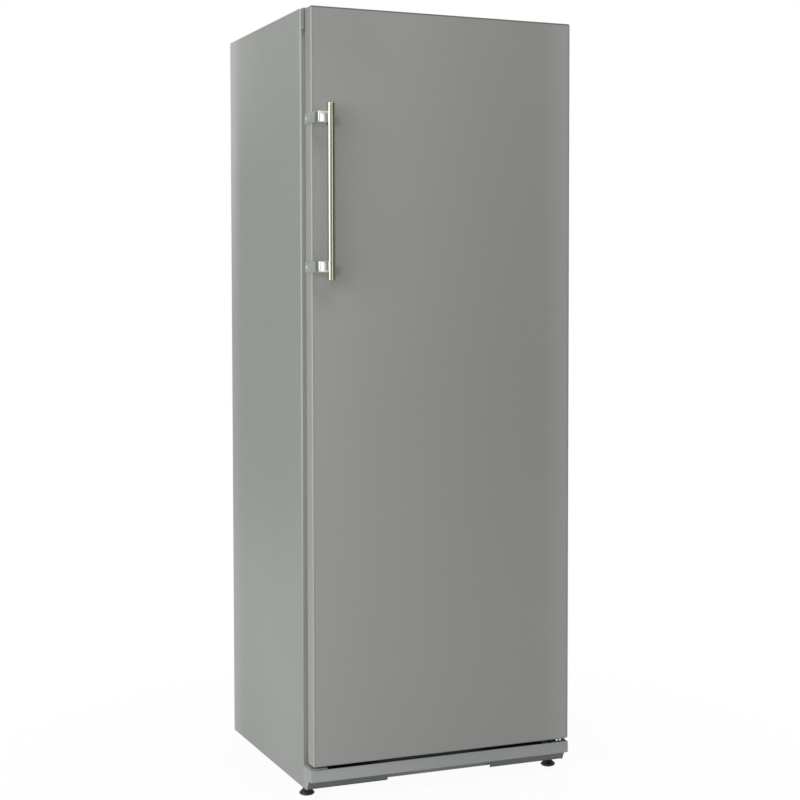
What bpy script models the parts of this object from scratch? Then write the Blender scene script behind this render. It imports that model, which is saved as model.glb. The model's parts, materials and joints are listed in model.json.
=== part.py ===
"""Commercial upright freezer: a foamed steel cabinet, a solid door on two pins, and a bar handle.

Metres, +Z up. The origin is on the floor, at the middle of the whole box with handle and condenser.
The door faces -Y, and its hinge axis is at +X.
"""

import math

import bmesh
import bpy
from mathutils import Matrix, Vector

# Overall sizes
WIDTH = 0.600
HEIGHT = 1.650
BODY_DEPTH = 0.580  # door front to the rear edges of the side panels

# Fits: the gap between pieces that touch, how far a cutter runs past what it cuts, how far two
# shapes that are joined run into each other, and how near two points are to be one
GAP = 0.0003
OVERRUN = 0.004
WELD = 0.0008
MERGE = 0.00001

# Sheet steel
SHEET = 0.001
BASE_SHEET = 0.0015
FOLD_RADIUS = 0.0022
FOLD_STEPS = 3

# Edges sharper than these angles are rounded, and those sharper than the last one shade as edges
FOLD_ANGLE = math.radians(30)
DOOR_EDGE_ANGLE = math.radians(60)
PLINTH_EDGE_ANGLE = math.radians(50)
PLUG_EDGE_ANGLE = math.radians(25)
SHADE_ANGLE = math.radians(35)

# Door shell and its place in front of the cabinet
DOOR_BOTTOM = 0.080
DOOR_TOP_GAP = 0.0015
DOOR_SIDE_GAP = 0.0035
DOOR_SHELL_DEPTH = 0.037
DOOR_CORNER_RADIUS = 0.004
DOOR_LIP = 0.045  # return of the skin behind the door, under the liner's edge
CABINET_SETBACK = 0.057  # door front to the cabinet's front edges

# Handle
BAR_RADIUS = 0.0085
BAR_LENGTH = 0.364
BAR_CHAMFER = 0.0010
BAR_STANDOFF = 0.036  # door front to the bar's axis
BAR_INSET = 0.034  # cabinet side to the bar's axis
BAR_TOP_DROP = 0.199  # door top to the bar's top
STRAP_SPACING = 0.306
STRAP_HEIGHT = 0.022
STRAP_THICKNESS = 0.0020
STRAP_SIDE_LENGTH = 0.034  # along the door's side, back from its front
STRAP_REACH = 0.012  # straight on past the door's front, before the bend
STRAP_BEND = 0.009
STRAP_STEPS = 6
STRAP_SCREW_RADIUS = 0.0042
STRAP_SCREW_HEAD = 0.0009
STRAP_SCREW_SETBACK = 0.022

# Cabinet
PANEL_FLANGE = 0.045  # front return of a side panel
REAR_FLANGE = 0.015
LID_FLANGE = 0.020
WALL = 0.060  # panel face to liner face
CEILING = 0.090
BACK_WALL = 0.062
LINER_SHEET = 0.002
LINER_RADIUS = 0.006
LINER_STEPS = 4
LINER_FLANGE = 0.0147
LINER_FLOOR = 0.140

# Base, compressor niche and plinth
BASE_HEIGHT = 0.024  # floor to the cabinet's underside
PAN_FLANGE = 0.020
FOAM_FLOOR = 0.062
NICHE_DEPTH = 0.210
NICHE_TOP = 0.285
PLINTH_TOP_DROP = 0.0085  # door bottom to the plinth's top
PLINTH_FRONT_SETBACK = 0.007
PLINTH_BAND = 0.0255
PLINTH_UNDERCUT = 0.015
PLINTH_SLOPE = 0.012
PLINTH_WALL = 0.0025
PLINTH_CORNER = 0.040  # top platform that carries a hinge or a blanking plate
PLINTH_NOTCH = 0.240  # cut-out in the middle of the skirt
PLINTH_ROUND = 0.0012

# Evaporator
SHELVES = 5
PASSES = 8
TUBE_RADIUS = 0.004
TUBE_SIDES = 6
SHELF_WIRES = 14
WIRE_RADIUS = 0.0018
RIM_RADIUS = 0.002
SHELF_SETBACK = 0.035  # cabinet front to the shelf's front rod
SHELF_REAR_GAP = 0.016
SHELF_SIDE_GAP = 0.014  # liner to the axis of the outer passes and rods
SHELF_OVER_STEP = 0.0317
SHELF_BEND = 0.012  # where a shelf's tube turns down to the next
CLIP_LENGTH = 0.036  # clips that carry a shelf on the liner's side walls
CLIP_PLATE = 0.0044
CLIP_HEIGHT = 0.0125
CLIP_LEG = 0.0060
CLIP_SEAT = 0.0011  # the rods' axis to the clip plate's underside
CLIP_INSET_SHARE = 0.12  # of the shelf's depth
BEND_STEPS = 4

# Door parts
GASKET_SIDE = 0.016  # cabinet side to the gasket's outer edge
GASKET_BOTTOM_RISE = 0.014  # door bottom to the gasket's lower edge
GASKET_TOP_GAP = 0.003  # fascia to the gasket's upper edge
GASKET_WIDTH = 0.020
GASKET_PINCH = 0.004
DOOR_LINER_MARGIN = 0.0025  # liner's edge past the gasket's outer edge
DOOR_LINER_SHEET = 0.002
PLUG_CLEARANCE = 0.008  # raised part of the door liner, to the cabinet's opening
PLUG_SLOPE = 0.012
PLUG_RISE = 0.030
PLUG_RIDGE = 0.030
PLUG_RECESS = 0.012
PLUG_RADIUS = 0.005

# Hinges
HINGE_INSET = 0.014  # cabinet side to the hinge axis
HINGE_SETBACK = 0.022  # door front to the hinge axis
PIN_RADIUS = 0.004
PIN_CLEARANCE = 0.0003
BRACKET_THICKNESS = 0.003
ARM_HALF_WIDTH = 0.009
ARM_DROP = 0.0010  # door top to the top hinge's arm
ARM_CLEARANCE = 0.0010
TOP_PIN_LENGTH = 0.014
INSERT_DEPTH = 0.022
NOTCH_RIM = 0.009  # door front to the notch for the arm
BOTTOM_PLATE_WIDTH = 0.035
BOTTOM_PLATE_SETBACK = 0.010
BOTTOM_LEG_HEIGHT = 0.018
BOTTOM_PIN_LENGTH = 0.016  # above the door's underside
COLLAR_RADIUS = 0.006
BUSH_RADIUS = 0.007
BUSH_FLANGE_RADIUS = 0.009
BUSH_FLANGE = 0.0015
STUD_OFFSET = 0.0125
STUD_RADIUS = 0.0028
STUD_GAP = 0.0006
PLATE_EDGE = 0.0025
BLANK_WIDTH = 0.0350

# Control fascia
FASCIA_HEIGHT = 0.044
FASCIA_SIDE = 0.002
FASCIA_DOOR_GAP = 0.0055
FASCIA_WALL = 0.0025
FASCIA_ROUND = 0.0015
KNOB_RADIUS = 0.011
KNOB_DEPTH = 0.0060
KNOB_PROUD = 0.0015
KNOB_CLEARANCE = 0.0006
KNOB_SLOT = 0.0018
KNOB_SLOT_DEPTH = 0.0012
KNOB_SLOT_SHARES = (0.5, 0.8)  # how far it runs down and up, of the knob's radius
KNOB_SHAFT_RADIUS = 0.003
KNOB_INSET = 0.125  # cabinet side to the knob
THERMOSTAT_SIZE = 0.032
THERMOSTAT_DEPTH = 0.0045
BUTTON_WIDTH = 0.015
BUTTON_HEIGHT = 0.010
BUTTON_DEPTH = 0.0070
BUTTON_PROUD = 0.0022
BUTTON_CLEARANCE = 0.0004
BUTTON_INSET = 0.168
LAMP_RADIUS = 0.003
LAMP_DEPTH = 0.0040
LAMP_PROUD = 0.0008
LAMP_CROWN_SHARE = (0.6, 0.7)  # of the lens's radius and of how far it stands out
LAMP_PITCH = 0.016
LAMP_INSET = 0.198  # cabinet side to the nearest lamp

# Feet and rollers
FOOT_RADIUS = 0.017
FOOT_SIDE = 0.018  # cabinet side to the foot's axis
FOOT_SETBACK = 0.078  # door front to the foot's axis
STEM_RADIUS = 0.005
STEM_CLEARANCE = 0.0004
STEM_LENGTH = 0.028
NUT_RADIUS = 0.010
NUT_HEIGHT = 0.012
# The foot's profile from its stem down, as shares of its radius and height
FOOT_SHARES = [(0.56, 1.0), (0.68, 0.86), (0.92, 0.52), (1.0, 0.30), (0.96, 0.14), (0.82, 0.0)]
ROLLER_RADIUS = 0.0100
ROLLER_WIDTH = 0.022
ROLLER_CHAMFER = 0.0010
ROLLER_BORE_CLEARANCE = 0.0003
ROLLER_AXLE_RADIUS = 0.0030
ROLLER_SIDE_GAP = 0.0006
ROLLER_SIDE = 0.040  # cabinet side to the roller's middle
ROLLER_FROM_BACK = 0.035
CHEEK_DROP = 0.0045  # floor to the cheeks' lower edges
CHEEK_LENGTH = 0.016

# Compressor and its lines
COMPRESSOR_RADIUS = 0.080
COMPRESSOR_OVAL_SHARE = 1.15
COMPRESSOR_HEIGHT = 0.185
# The shell's profile above and below its seam, as shares of its radius and height. The suction line
# leaves at the last but one point above the seam, and the discharge line at the last one
DOME_SHARES = [(0, 1.0), (0.30, 0.985), (0.58, 0.935), (0.80, 0.84), (0.93, 0.70), (0.975, 0.52)]
SEAM_SHARE = 0.42
LOWER_SHARES = [(0.965, 0.30), (0.90, 0.12), (0.74, 0.02), (0.50, 0.0)]
COMPRESSOR_PLACE = 0.080  # left of the middle
COMPRESSOR_BASE = 0.003
COMPRESSOR_BASE_LENGTH = 0.230
COMPRESSOR_BASE_WIDTH = 0.130
COMPRESSOR_FOOT_RADIUS = 0.010
COMPRESSOR_FOOT_HEIGHT = 0.014
COMPRESSOR_FOOT_INSET = 0.015  # base plate's edge to the foot's axis
TERMINAL_SEAT = 0.040
SEAM_LIP = 0.004
SEAM_THICKNESS = 0.005
BOX_WIDTH = 0.070
BOX_HEIGHT = 0.062
BOX_DEPTH = 0.034
BOX_RADIUS = 0.005
LINE_RADIUS = 0.0035
LINE_BEND = 0.018
LINE_SEAT = 0.0009  # the shell to where a line starts
SUCTION_REACH = 0.025  # from the shell to where the suction line turns up
DRIER_RADIUS = 0.0085
DRIER_LENGTH = 0.110
GLAND_RADIUS = 0.010
GLAND_LENGTH = 0.018
GLAND_BORE = 0.0035
GLAND_NECK_SHARE = 0.6  # the outer end's radius, of the gland's

# Condenser
CONDENSER_WIDTH = 0.460
CONDENSER_LOW = 0.350
CONDENSER_TOP_DROP = 0.200
CONDENSER_PASSES = 12
CONDENSER_WIRES = 20
CONDENSER_TUBE_RADIUS = 0.0035
CONDENSER_STANDOFF = 0.014  # back panel to the coil
CONDENSER_OVERHANG = 0.030  # wires past the first and the last pass
CLIP_SHEET = 0.001
CLIP_FOOT = 0.016

# Colours, as they would be written for paint
CABINET_GREY = (0.33, 0.345, 0.33)
DOOR_GREY = (0.27, 0.27, 0.262)
ZINC = (0.62, 0.64, 0.65)
CHROME = (0.75, 0.76, 0.76)
PLASTIC_GREY = (0.30, 0.32, 0.31)
LINER_WHITE = (0.80, 0.81, 0.81)
BLACK = (0.02, 0.02, 0.02)
FOAM = (0.72, 0.62, 0.38)
COPPER = (0.58, 0.30, 0.20)

# Main planes
HALF = WIDTH / 2
CONDENSER_REACH = CONDENSER_STANDOFF + CONDENSER_TUBE_RADIUS + DRIER_RADIUS
HANDLE_REACH = BAR_STANDOFF + BAR_RADIUS
DOOR_FRONT = HANDLE_REACH - (HANDLE_REACH + BODY_DEPTH + CONDENSER_REACH) / 2
DOOR_REAR = DOOR_FRONT + DOOR_SHELL_DEPTH
DOOR_TOP = HEIGHT - DOOR_TOP_GAP
DOOR_HALF = HALF - DOOR_SIDE_GAP
FRONT = DOOR_FRONT + CABINET_SETBACK
BACK = DOOR_FRONT + BODY_DEPTH
NICHE_FRONT = BACK - NICHE_DEPTH
OPENING_HALF = HALF - WALL
OPENING_LOW = LINER_FLOOR
OPENING_HIGH = HEIGHT - CEILING
LINER_REAR = BACK - BACK_WALL
STEP_FRONT = NICHE_FRONT - WALL
STEP_TOP = NICHE_TOP + WALL
FASCIA_LOW = HEIGHT - FASCIA_HEIGHT
GASKET_HALF = HALF - GASKET_SIDE
GASKET_LOW = DOOR_BOTTOM + GASKET_BOTTOM_RISE
GASKET_HIGH = FASCIA_LOW - GASKET_TOP_GAP
KNOB_PLACE = HALF - KNOB_INSET
BUTTON_PLACE = HALF - BUTTON_INSET
PLINTH_TOP = DOOR_BOTTOM - PLINTH_TOP_DROP
PLINTH_FRONT = DOOR_FRONT + PLINTH_FRONT_SETBACK
HINGE_X = HALF - HINGE_INSET
HINGE_Y = DOOR_FRONT + HINGE_SETBACK
INNER_HALF = HALF - SHEET - GAP  # inside the side panels
TUBE_FLAT = TUBE_RADIUS * math.cos(math.pi / TUBE_SIDES)  # axis to the flat it lies on

AXES = {
    "XY": Matrix.Identity(4),
    "YZ": Matrix(((0, 0, 1, 0), (1, 0, 0, 0), (0, 1, 0, 0), (0, 0, 0, 1))),
    "ZX": Matrix(((0, 1, 0, 0), (0, 0, 1, 0), (1, 0, 0, 0), (0, 0, 0, 1))),
}


def clear_scene():
    for obj in list(bpy.data.objects):
        bpy.data.objects.remove(obj, do_unlink=True)


def collection(name, hidden=False):
    made = bpy.data.collections.new(name)
    bpy.context.scene.collection.children.link(made)
    made.hide_render = hidden
    return made


def material(name, colour, roughness, metallic=0.0):
    made = bpy.data.materials.new(name)
    made.use_nodes = True
    shader = made.node_tree.nodes["Principled BSDF"]
    shader.inputs["Base Color"].default_value = (*colour, 1)
    shader.inputs["Roughness"].default_value = roughness
    shader.inputs["Metallic"].default_value = metallic
    made.diffuse_color = (*colour, 1)
    return made


clear_scene()
PARTS = collection("upright_freezer")
CUTTERS = collection("cutters", hidden=True)
FINISH = {
    "cabinet": material("cabinet_paint", CABINET_GREY, 0.45),
    "door": material("door_steel", DOOR_GREY, 0.38, 0.6),
    "zinc": material("zinc_plate", ZINC, 0.35, 1.0),
    "chrome": material("chrome_strap", CHROME, 0.08, 1.0),
    "steel": material("brushed_bar", CHROME, 0.25, 1.0),
    "plastic": material("plinth_plastic", PLASTIC_GREY, 0.5),
    "liner": material("liner_white", LINER_WHITE, 0.35),
    "rubber": material("gasket_rubber", PLASTIC_GREY, 0.7),
    "black": material("black_plastic", BLACK, 0.4),
    "foam": material("foam", FOAM, 0.9),
    "copper": material("copper_tube", COPPER, 0.35, 1.0),
    "enamel": material("black_enamel", BLACK, 0.3),
    "green": material("green_lens", (0.05, 0.55, 0.12), 0.15),
    "yellow": material("yellow_lens", (0.85, 0.6, 0.05), 0.15),
    "red": material("red_lens", (0.75, 0.04, 0.03), 0.15),
}


def keep(obj, finish=None):
    """Files an object with the parts, in its finish, or with the cutters where it has none"""
    for home in list(obj.users_collection):
        home.objects.unlink(obj)
    if finish is None:
        CUTTERS.objects.link(obj)
        obj.hide_render = True
        obj.display_type = "WIRE"
    else:
        PARTS.objects.link(obj)
        obj.data.materials.clear()
        obj.data.materials.append(FINISH[finish])
    return obj


def from_bmesh(name, shape, finish=None, place=None):
    mesh = bpy.data.meshes.new(name)
    shape.to_mesh(mesh)
    shape.free()
    obj = bpy.data.objects.new(name, mesh)
    if place is not None:
        obj.matrix_world = place
    return keep(obj, finish)


def block(name, low, high, finish=None, radius=0.0, segments=2):
    """A box between two corners, with every edge rounded where a radius is given"""
    low, high = Vector(low), Vector(high)
    shape = bmesh.new()
    bmesh.ops.create_cube(shape, size=1)
    bmesh.ops.scale(shape, vec=high - low, verts=shape.verts)
    if radius:
        bmesh.ops.bevel(
            shape, geom=shape.edges[:], offset=radius, offset_type="OFFSET", segments=segments,
            profile=0.5, affect="EDGES", material=-1,
        )
    return from_bmesh(name, shape, finish, Matrix.Translation((low + high) / 2))


def add_bevel(obj, radius, segments=FOLD_STEPS, angle=FOLD_ANGLE):
    modifier = obj.modifiers.new("round", "BEVEL")
    modifier.width = radius
    modifier.segments = segments
    modifier.limit_method = "ANGLE"
    modifier.angle_limit = angle
    return obj


def add_wall(obj, thickness, side):
    modifier = obj.modifiers.new("wall", "SOLIDIFY")
    modifier.thickness = thickness
    modifier.offset = side
    modifier.use_even_offset = True
    return obj


def combine(obj, other, operation):
    modifier = obj.modifiers.new(other.name, "BOOLEAN")
    modifier.operation = operation
    modifier.object = other
    modifier.solver = "EXACT"
    return obj


def cut(obj, *cutters):
    for cutter in cutters:
        combine(obj, cutter, "DIFFERENCE")
    return obj


def join(obj, *others):
    for other in others:
        combine(obj, other, "UNION")
    return obj


def smooth(obj):
    obj.data.shade_smooth()
    obj.data.set_sharp_from_angle(angle=SHADE_ANGLE)
    return obj


def sheet_strip(name, outline, start, end, thickness, side, finish, axes="XY", radius=FOLD_RADIUS):
    """A folded sheet: an open outline drawn from start to end, its folds rounded, then given its wall"""
    shape = bmesh.new()
    corners = [shape.verts.new((u, v, start)) for u, v in outline]
    edges = [shape.edges.new(pair) for pair in zip(corners, corners[1:])]
    drawn = bmesh.ops.extrude_edge_only(shape, edges=edges)["geom"]
    moved = [item for item in drawn if isinstance(item, bmesh.types.BMVert)]
    bmesh.ops.translate(shape, vec=(0, 0, end - start), verts=moved)
    obj = from_bmesh(name, shape, finish, AXES[axes])
    if radius:
        add_bevel(obj, radius)
    return add_wall(obj, thickness, side)


def prism(name, outline, start, end, finish=None, axes="XY"):
    """A flat outline drawn from start to end"""
    shape = bmesh.new()
    face = shape.faces.new([shape.verts.new((u, v, start)) for u, v in outline])
    drawn = bmesh.ops.extrude_face_region(shape, geom=[face])["geom"]
    moved = [item for item in drawn if isinstance(item, bmesh.types.BMVert)]
    bmesh.ops.translate(shape, vec=(0, 0, end - start), verts=moved)
    bmesh.ops.recalc_face_normals(shape, faces=shape.faces[:])
    return from_bmesh(name, shape, finish, AXES[axes])


def turned(name, profile, place, finish=None, steps=24):
    """A profile of radius and height, from top to bottom, turned about Z"""
    shape = bmesh.new()
    corners = [shape.verts.new((radius, 0, height)) for radius, height in profile]
    for pair in zip(corners, corners[1:]):
        shape.edges.new(pair)
    obj = from_bmesh(name, shape, finish, place)
    modifier = obj.modifiers.new("turn", "SCREW")
    modifier.axis = "Z"
    modifier.steps = modifier.render_steps = steps
    modifier.use_merge_vertices = True
    modifier.merge_threshold = MERGE
    modifier.use_smooth_shade = True
    return obj


def rod(name, start, end, radius, finish=None, steps=16):
    """A plain round rod between two points"""
    start, end = Vector(start), Vector(end)
    shape = bmesh.new()
    bmesh.ops.create_cone(
        shape, cap_ends=True, segments=steps, radius1=radius, radius2=radius, depth=(end - start).length,
    )
    bmesh.ops.rotate(shape, verts=shape.verts, matrix=Matrix.Rotation(math.pi / steps, 3, "Z"))
    turn = (end - start).to_track_quat("Z", "Y").to_matrix().to_4x4()
    return smooth(from_bmesh(name, shape, finish, Matrix.Translation((start + end) / 2) @ turn))


def tube(name, points, radius, finish):
    """A round tube along its points, with filled ends"""
    curve = bpy.data.curves.new(name, "CURVE")
    curve.dimensions = "3D"
    curve.bevel_depth = radius
    curve.bevel_resolution = TUBE_SIDES // 2 - 2
    curve.use_fill_caps = True
    line = curve.splines.new("POLY")
    line.points.add(len(points) - 1)
    for target, point in zip(line.points, points):
        target.co = (*point, 1)
    line.use_smooth = True
    return keep(bpy.data.objects.new(name, curve), finish)


def rounded_route(points, radius, steps=4):
    """A route through its points, with each corner turned on an arc of the given radius"""
    points = [Vector(point) for point in points]
    route = [points[0]]
    for before, corner, after in zip(points, points[1:], points[2:]):
        into, out = (before - corner).normalized(), (after - corner).normalized()
        half_angle = into.angle(out) / 2
        reach = radius / math.tan(half_angle)
        centre = corner + (into + out).normalized() * (radius / math.sin(half_angle))
        first = corner + into * reach - centre
        last = corner + out * reach - centre
        route += [centre + first.slerp(last, step / steps) * radius for step in range(steps + 1)]
    return route + [points[-1]]


def inset_outline(outline, distance):
    """A closed outline drawn in by a distance; its points run counter-clockwise"""
    lines = []
    for start, end in zip(outline, outline[1:] + outline[:1]):
        along = (Vector(end) - Vector(start)).normalized()
        inward = Vector((-along.y, along.x))
        lines.append((Vector(start) + inward * distance, along))
    inner = []
    for (point, along), (other, beside) in zip(lines[-1:] + lines[:-1], lines):
        cross = along.x * beside.y - along.y * beside.x
        reach = ((other - point).x * beside.y - (other - point).y * beside.x) / cross
        inner.append(tuple(point + along * reach))
    return inner


def framed_surface(name, rings, finish, closed=False):
    """Upright rectangles drawn out one from the other: closed makes a frame, otherwise the last one is
    filled. Each rectangle is its half width, lower edge, upper edge and place from front to back"""
    shape = bmesh.new()
    half, low, high, y = rings[0]
    middle = (low + high) / 2
    corners = [(-half, low), (half, low), (half, high), (-half, high)]
    verts = [shape.verts.new((x, y, z)) for x, z in corners]
    edges = [shape.edges.new(pair) for pair in zip(verts, verts[1:] + verts[:1])]
    for half, low, high, y in rings[1:] + (rings[:1] if closed else []):
        drawn = bmesh.ops.extrude_edge_only(shape, edges=edges)["geom"]
        moved = {item for item in drawn if isinstance(item, bmesh.types.BMVert)}
        for vert in moved:
            vert.co = (math.copysign(half, vert.co.x), y, low if vert.co.z < middle else high)
        edges = [edge for edge in shape.edges if moved.issuperset(edge.verts)]
    if closed:
        bmesh.ops.remove_doubles(shape, verts=shape.verts[:], dist=MERGE)
    else:
        bmesh.ops.contextual_create(shape, geom=edges)
    bmesh.ops.recalc_face_normals(shape, faces=shape.faces[:])
    return from_bmesh(name, shape, finish)


def pan(name, low, high, open_side, lip, thickness, radius, finish):
    """A box of sheet, open towards one side (+Y or +Z), with a lip turned in round the opening"""
    low, high = Vector(low), Vector(high)
    axis = {"+Y": 1, "+Z": 2, "-Z": 2}[open_side]
    level = low[axis] if open_side == "-Z" else high[axis]
    shape = bmesh.new()
    bmesh.ops.create_cube(shape, size=1)
    bmesh.ops.scale(shape, vec=high - low, verts=shape.verts)
    bmesh.ops.translate(shape, vec=(low + high) / 2, verts=shape.verts)
    lid = [face for face in shape.faces if all(abs(v.co[axis] - level) < GAP for v in face.verts)]
    if lip:
        bmesh.ops.inset_region(shape, faces=lid, thickness=lip, use_even_offset=True)
    bmesh.ops.delete(shape, geom=lid, context="FACES")
    obj = from_bmesh(name, shape, finish)
    if radius:
        add_bevel(obj, radius)
    return add_wall(obj, thickness, -1)


def at(x, y, z):
    return Matrix.Translation((x, y, z))


def facing(x, y, z, toward):
    """A place whose own Z looks towards -Y, +Y or +X"""
    turn = {
        "-Y": Matrix.Rotation(math.radians(90), 4, "X"),
        "+Y": Matrix.Rotation(math.radians(-90), 4, "X"),
        "+X": Matrix.Rotation(math.radians(90), 4, "Y"),
    }[toward]
    return at(x, y, z) @ turn


def empty(name, x, y, z):
    obj = bpy.data.objects.new(name, None)
    PARTS.objects.link(obj)
    obj.location = (x, y, z)
    bpy.context.view_layer.update()
    return obj


def hang(axis, *pieces):
    """Parents pieces to the empty on their joint's axis, and leaves them where they are"""
    bpy.context.view_layer.update()
    for piece in pieces:
        place = piece.matrix_world.copy()
        piece.parent = axis
        piece.matrix_parent_inverse = axis.matrix_world.inverted()
        piece.matrix_world = place


def side_panels():
    for name, side in (("left_side_panel", -1), ("right_side_panel", 1)):
        outline = [
            (side * (HALF - PANEL_FLANGE), FRONT),
            (side * HALF, FRONT),
            (side * HALF, BACK),
            (side * (HALF - REAR_FLANGE), BACK),
        ]
        sheet_strip(name, outline, BASE_HEIGHT, HEIGHT, SHEET, side, "cabinet")


def top_panel():
    low = (-INNER_HALF, FRONT + SHEET + GAP, HEIGHT - LID_FLANGE)
    high = (INNER_HALF, BACK - SHEET - GAP, HEIGHT)
    pan("top_panel", low, high, "-Z", 0, SHEET, FOLD_RADIUS, "cabinet")


def flat_panels():
    inner = HALF - PANEL_FLANGE - GAP
    top_low = OPENING_HIGH + LINER_FLANGE + GAP
    block("front_top_rail", (-inner, FRONT, top_low), (inner, FRONT + SHEET, HEIGHT), "cabinet")
    low_high = OPENING_LOW - LINER_FLANGE - GAP
    block("front_lower_rail", (-inner, FRONT, BASE_HEIGHT), (inner, FRONT + SHEET, low_high), "cabinet")
    back_half = HALF - REAR_FLANGE - GAP
    block("back_panel", (-back_half, BACK - SHEET, NICHE_TOP), (back_half, BACK, HEIGHT), "cabinet")


def foot_places():
    return [(side * (HALF - FOOT_SIDE), DOOR_FRONT + FOOT_SETBACK) for side in (-1, 1)]


def base_pan():
    low = (-INNER_HALF, FRONT + SHEET + GAP, BASE_HEIGHT)
    high = (INNER_HALF, NICHE_FRONT - BASE_SHEET - 2 * GAP, BASE_HEIGHT + PAN_FLANGE)
    base = pan("base_pan", low, high, "+Z", 0, BASE_SHEET, FOLD_RADIUS, "zinc")
    for x, y in foot_places():
        nut_low = BASE_HEIGHT + BASE_SHEET - WELD
        nut_high = BASE_HEIGHT + BASE_SHEET + NUT_HEIGHT
        bore = STEM_RADIUS + STEM_CLEARANCE
        join(base, rod("nut", (x, y, nut_low), (x, y, nut_high), NUT_RADIUS, steps=6))
        cut(base, rod("stem_hole", (x, y, 0), (x, y, nut_high + OVERRUN), bore))


def compressor_plate():
    low = (-INNER_HALF, NICHE_FRONT + GAP, BASE_HEIGHT)
    high = (INNER_HALF, BACK - SHEET - GAP, BASE_HEIGHT + PAN_FLANGE)
    pan("compressor_plate", low, high, "+Z", 0, BASE_SHEET, FOLD_RADIUS, "zinc")


def niche_panel():
    outline = [
        (NICHE_FRONT - GAP, BASE_HEIGHT + GAP),
        (NICHE_FRONT - GAP, NICHE_TOP - BASE_SHEET),
        (BACK - SHEET - GAP, NICHE_TOP - BASE_SHEET),
    ]
    half = INNER_HALF - SHEET - GAP
    sheet_strip("niche_panel", outline, -half, half, BASE_SHEET, 1, "zinc", axes="YZ")


def cavity_outline():
    """The liner's inside in side view, counter-clockwise seen from +X"""
    return [
        (FRONT, OPENING_LOW),
        (STEP_FRONT, OPENING_LOW),
        (STEP_FRONT, STEP_TOP),
        (LINER_REAR, STEP_TOP),
        (LINER_REAR, OPENING_HIGH),
        (FRONT, OPENING_HIGH),
    ]


def shelf_level(index):
    """Underside of an evaporator coil, the lowest shelf first"""
    lowest = STEP_TOP + SHELF_OVER_STEP
    return lowest + (OPENING_HIGH - lowest) * index / SHELVES


def inner_liner():
    shape = bmesh.new()
    outline = cavity_outline()
    face = shape.faces.new([shape.verts.new((-OPENING_HALF, y, z)) for y, z in outline])
    drawn = bmesh.ops.extrude_face_region(shape, geom=[face])["geom"]
    moved = [item for item in drawn if isinstance(item, bmesh.types.BMVert)]
    bmesh.ops.translate(shape, vec=(2 * OPENING_HALF, 0, 0), verts=moved)
    bmesh.ops.recalc_face_normals(shape, faces=shape.faces[:])
    mouth = [f for f in shape.faces if all(abs(v.co.y - FRONT) < GAP for v in f.verts)]
    bmesh.ops.delete(shape, geom=mouth, context="FACES")
    rim = [edge for edge in shape.edges if edge.is_boundary]
    flange = bmesh.ops.extrude_edge_only(shape, edges=rim)["geom"]
    middle = (OPENING_LOW + OPENING_HIGH) / 2
    for vert in (item for item in flange if isinstance(item, bmesh.types.BMVert)):
        vert.co.x += math.copysign(LINER_FLANGE, vert.co.x)
        vert.co.z += math.copysign(LINER_FLANGE, vert.co.z - middle)
    liner = from_bmesh("inner_liner", shape, "liner")
    add_bevel(liner, LINER_RADIUS, segments=LINER_STEPS)
    add_wall(liner, LINER_SHEET, 1)
    smooth(liner)


def cabinet_foam():
    half = INNER_HALF - SHEET - GAP
    low = (-half, FRONT + LINER_SHEET + GAP, FOAM_FLOOR)
    high = (half, BACK - 2 * SHEET - 2 * GAP, HEIGHT - SHEET - GAP)
    foam = block("cabinet_foam", low, high, "foam", radius=FOLD_RADIUS, segments=1)
    corners = cavity_outline()
    corners[2:3] = [(STEP_FRONT, STEP_TOP - LINER_RADIUS), (STEP_FRONT + LINER_RADIUS, STEP_TOP)]
    grown = inset_outline(corners, -(LINER_SHEET + GAP))
    grown = [(y - (OVERRUN if y < FRONT else 0), z) for y, z in grown]
    reach = OPENING_HALF + LINER_SHEET + GAP
    cavity = prism("foam_cavity", grown, -reach, reach, axes="YZ")
    niche_low = (-HALF, NICHE_FRONT - BASE_SHEET - 2 * GAP, 0)
    niche_high = (HALF, BACK + OVERRUN, NICHE_TOP + GAP)
    cut(foam, cavity, block("foam_niche", niche_low, niche_high))
    lid_low = (-HALF, FRONT, HEIGHT - LID_FLANGE - GAP)
    cut(foam, block("foam_lid", lid_low, (HALF, FRONT + 2 * SHEET + 2 * GAP, HEIGHT)))
    wide = reach + LINER_RADIUS
    margin = LINER_SHEET + GAP + LINER_RADIUS
    mouth_low = (-wide, FRONT - OVERRUN, OPENING_LOW - margin)
    mouth_high = (wide, FRONT + LINER_SHEET + LINER_RADIUS, OPENING_HIGH + margin)
    cut(foam, block("foam_mouth", mouth_low, mouth_high))


def shelf_depths():
    """Front and rear of an evaporator shelf"""
    return FRONT + SHELF_SETBACK, LINER_REAR - SHELF_REAR_GAP


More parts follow.
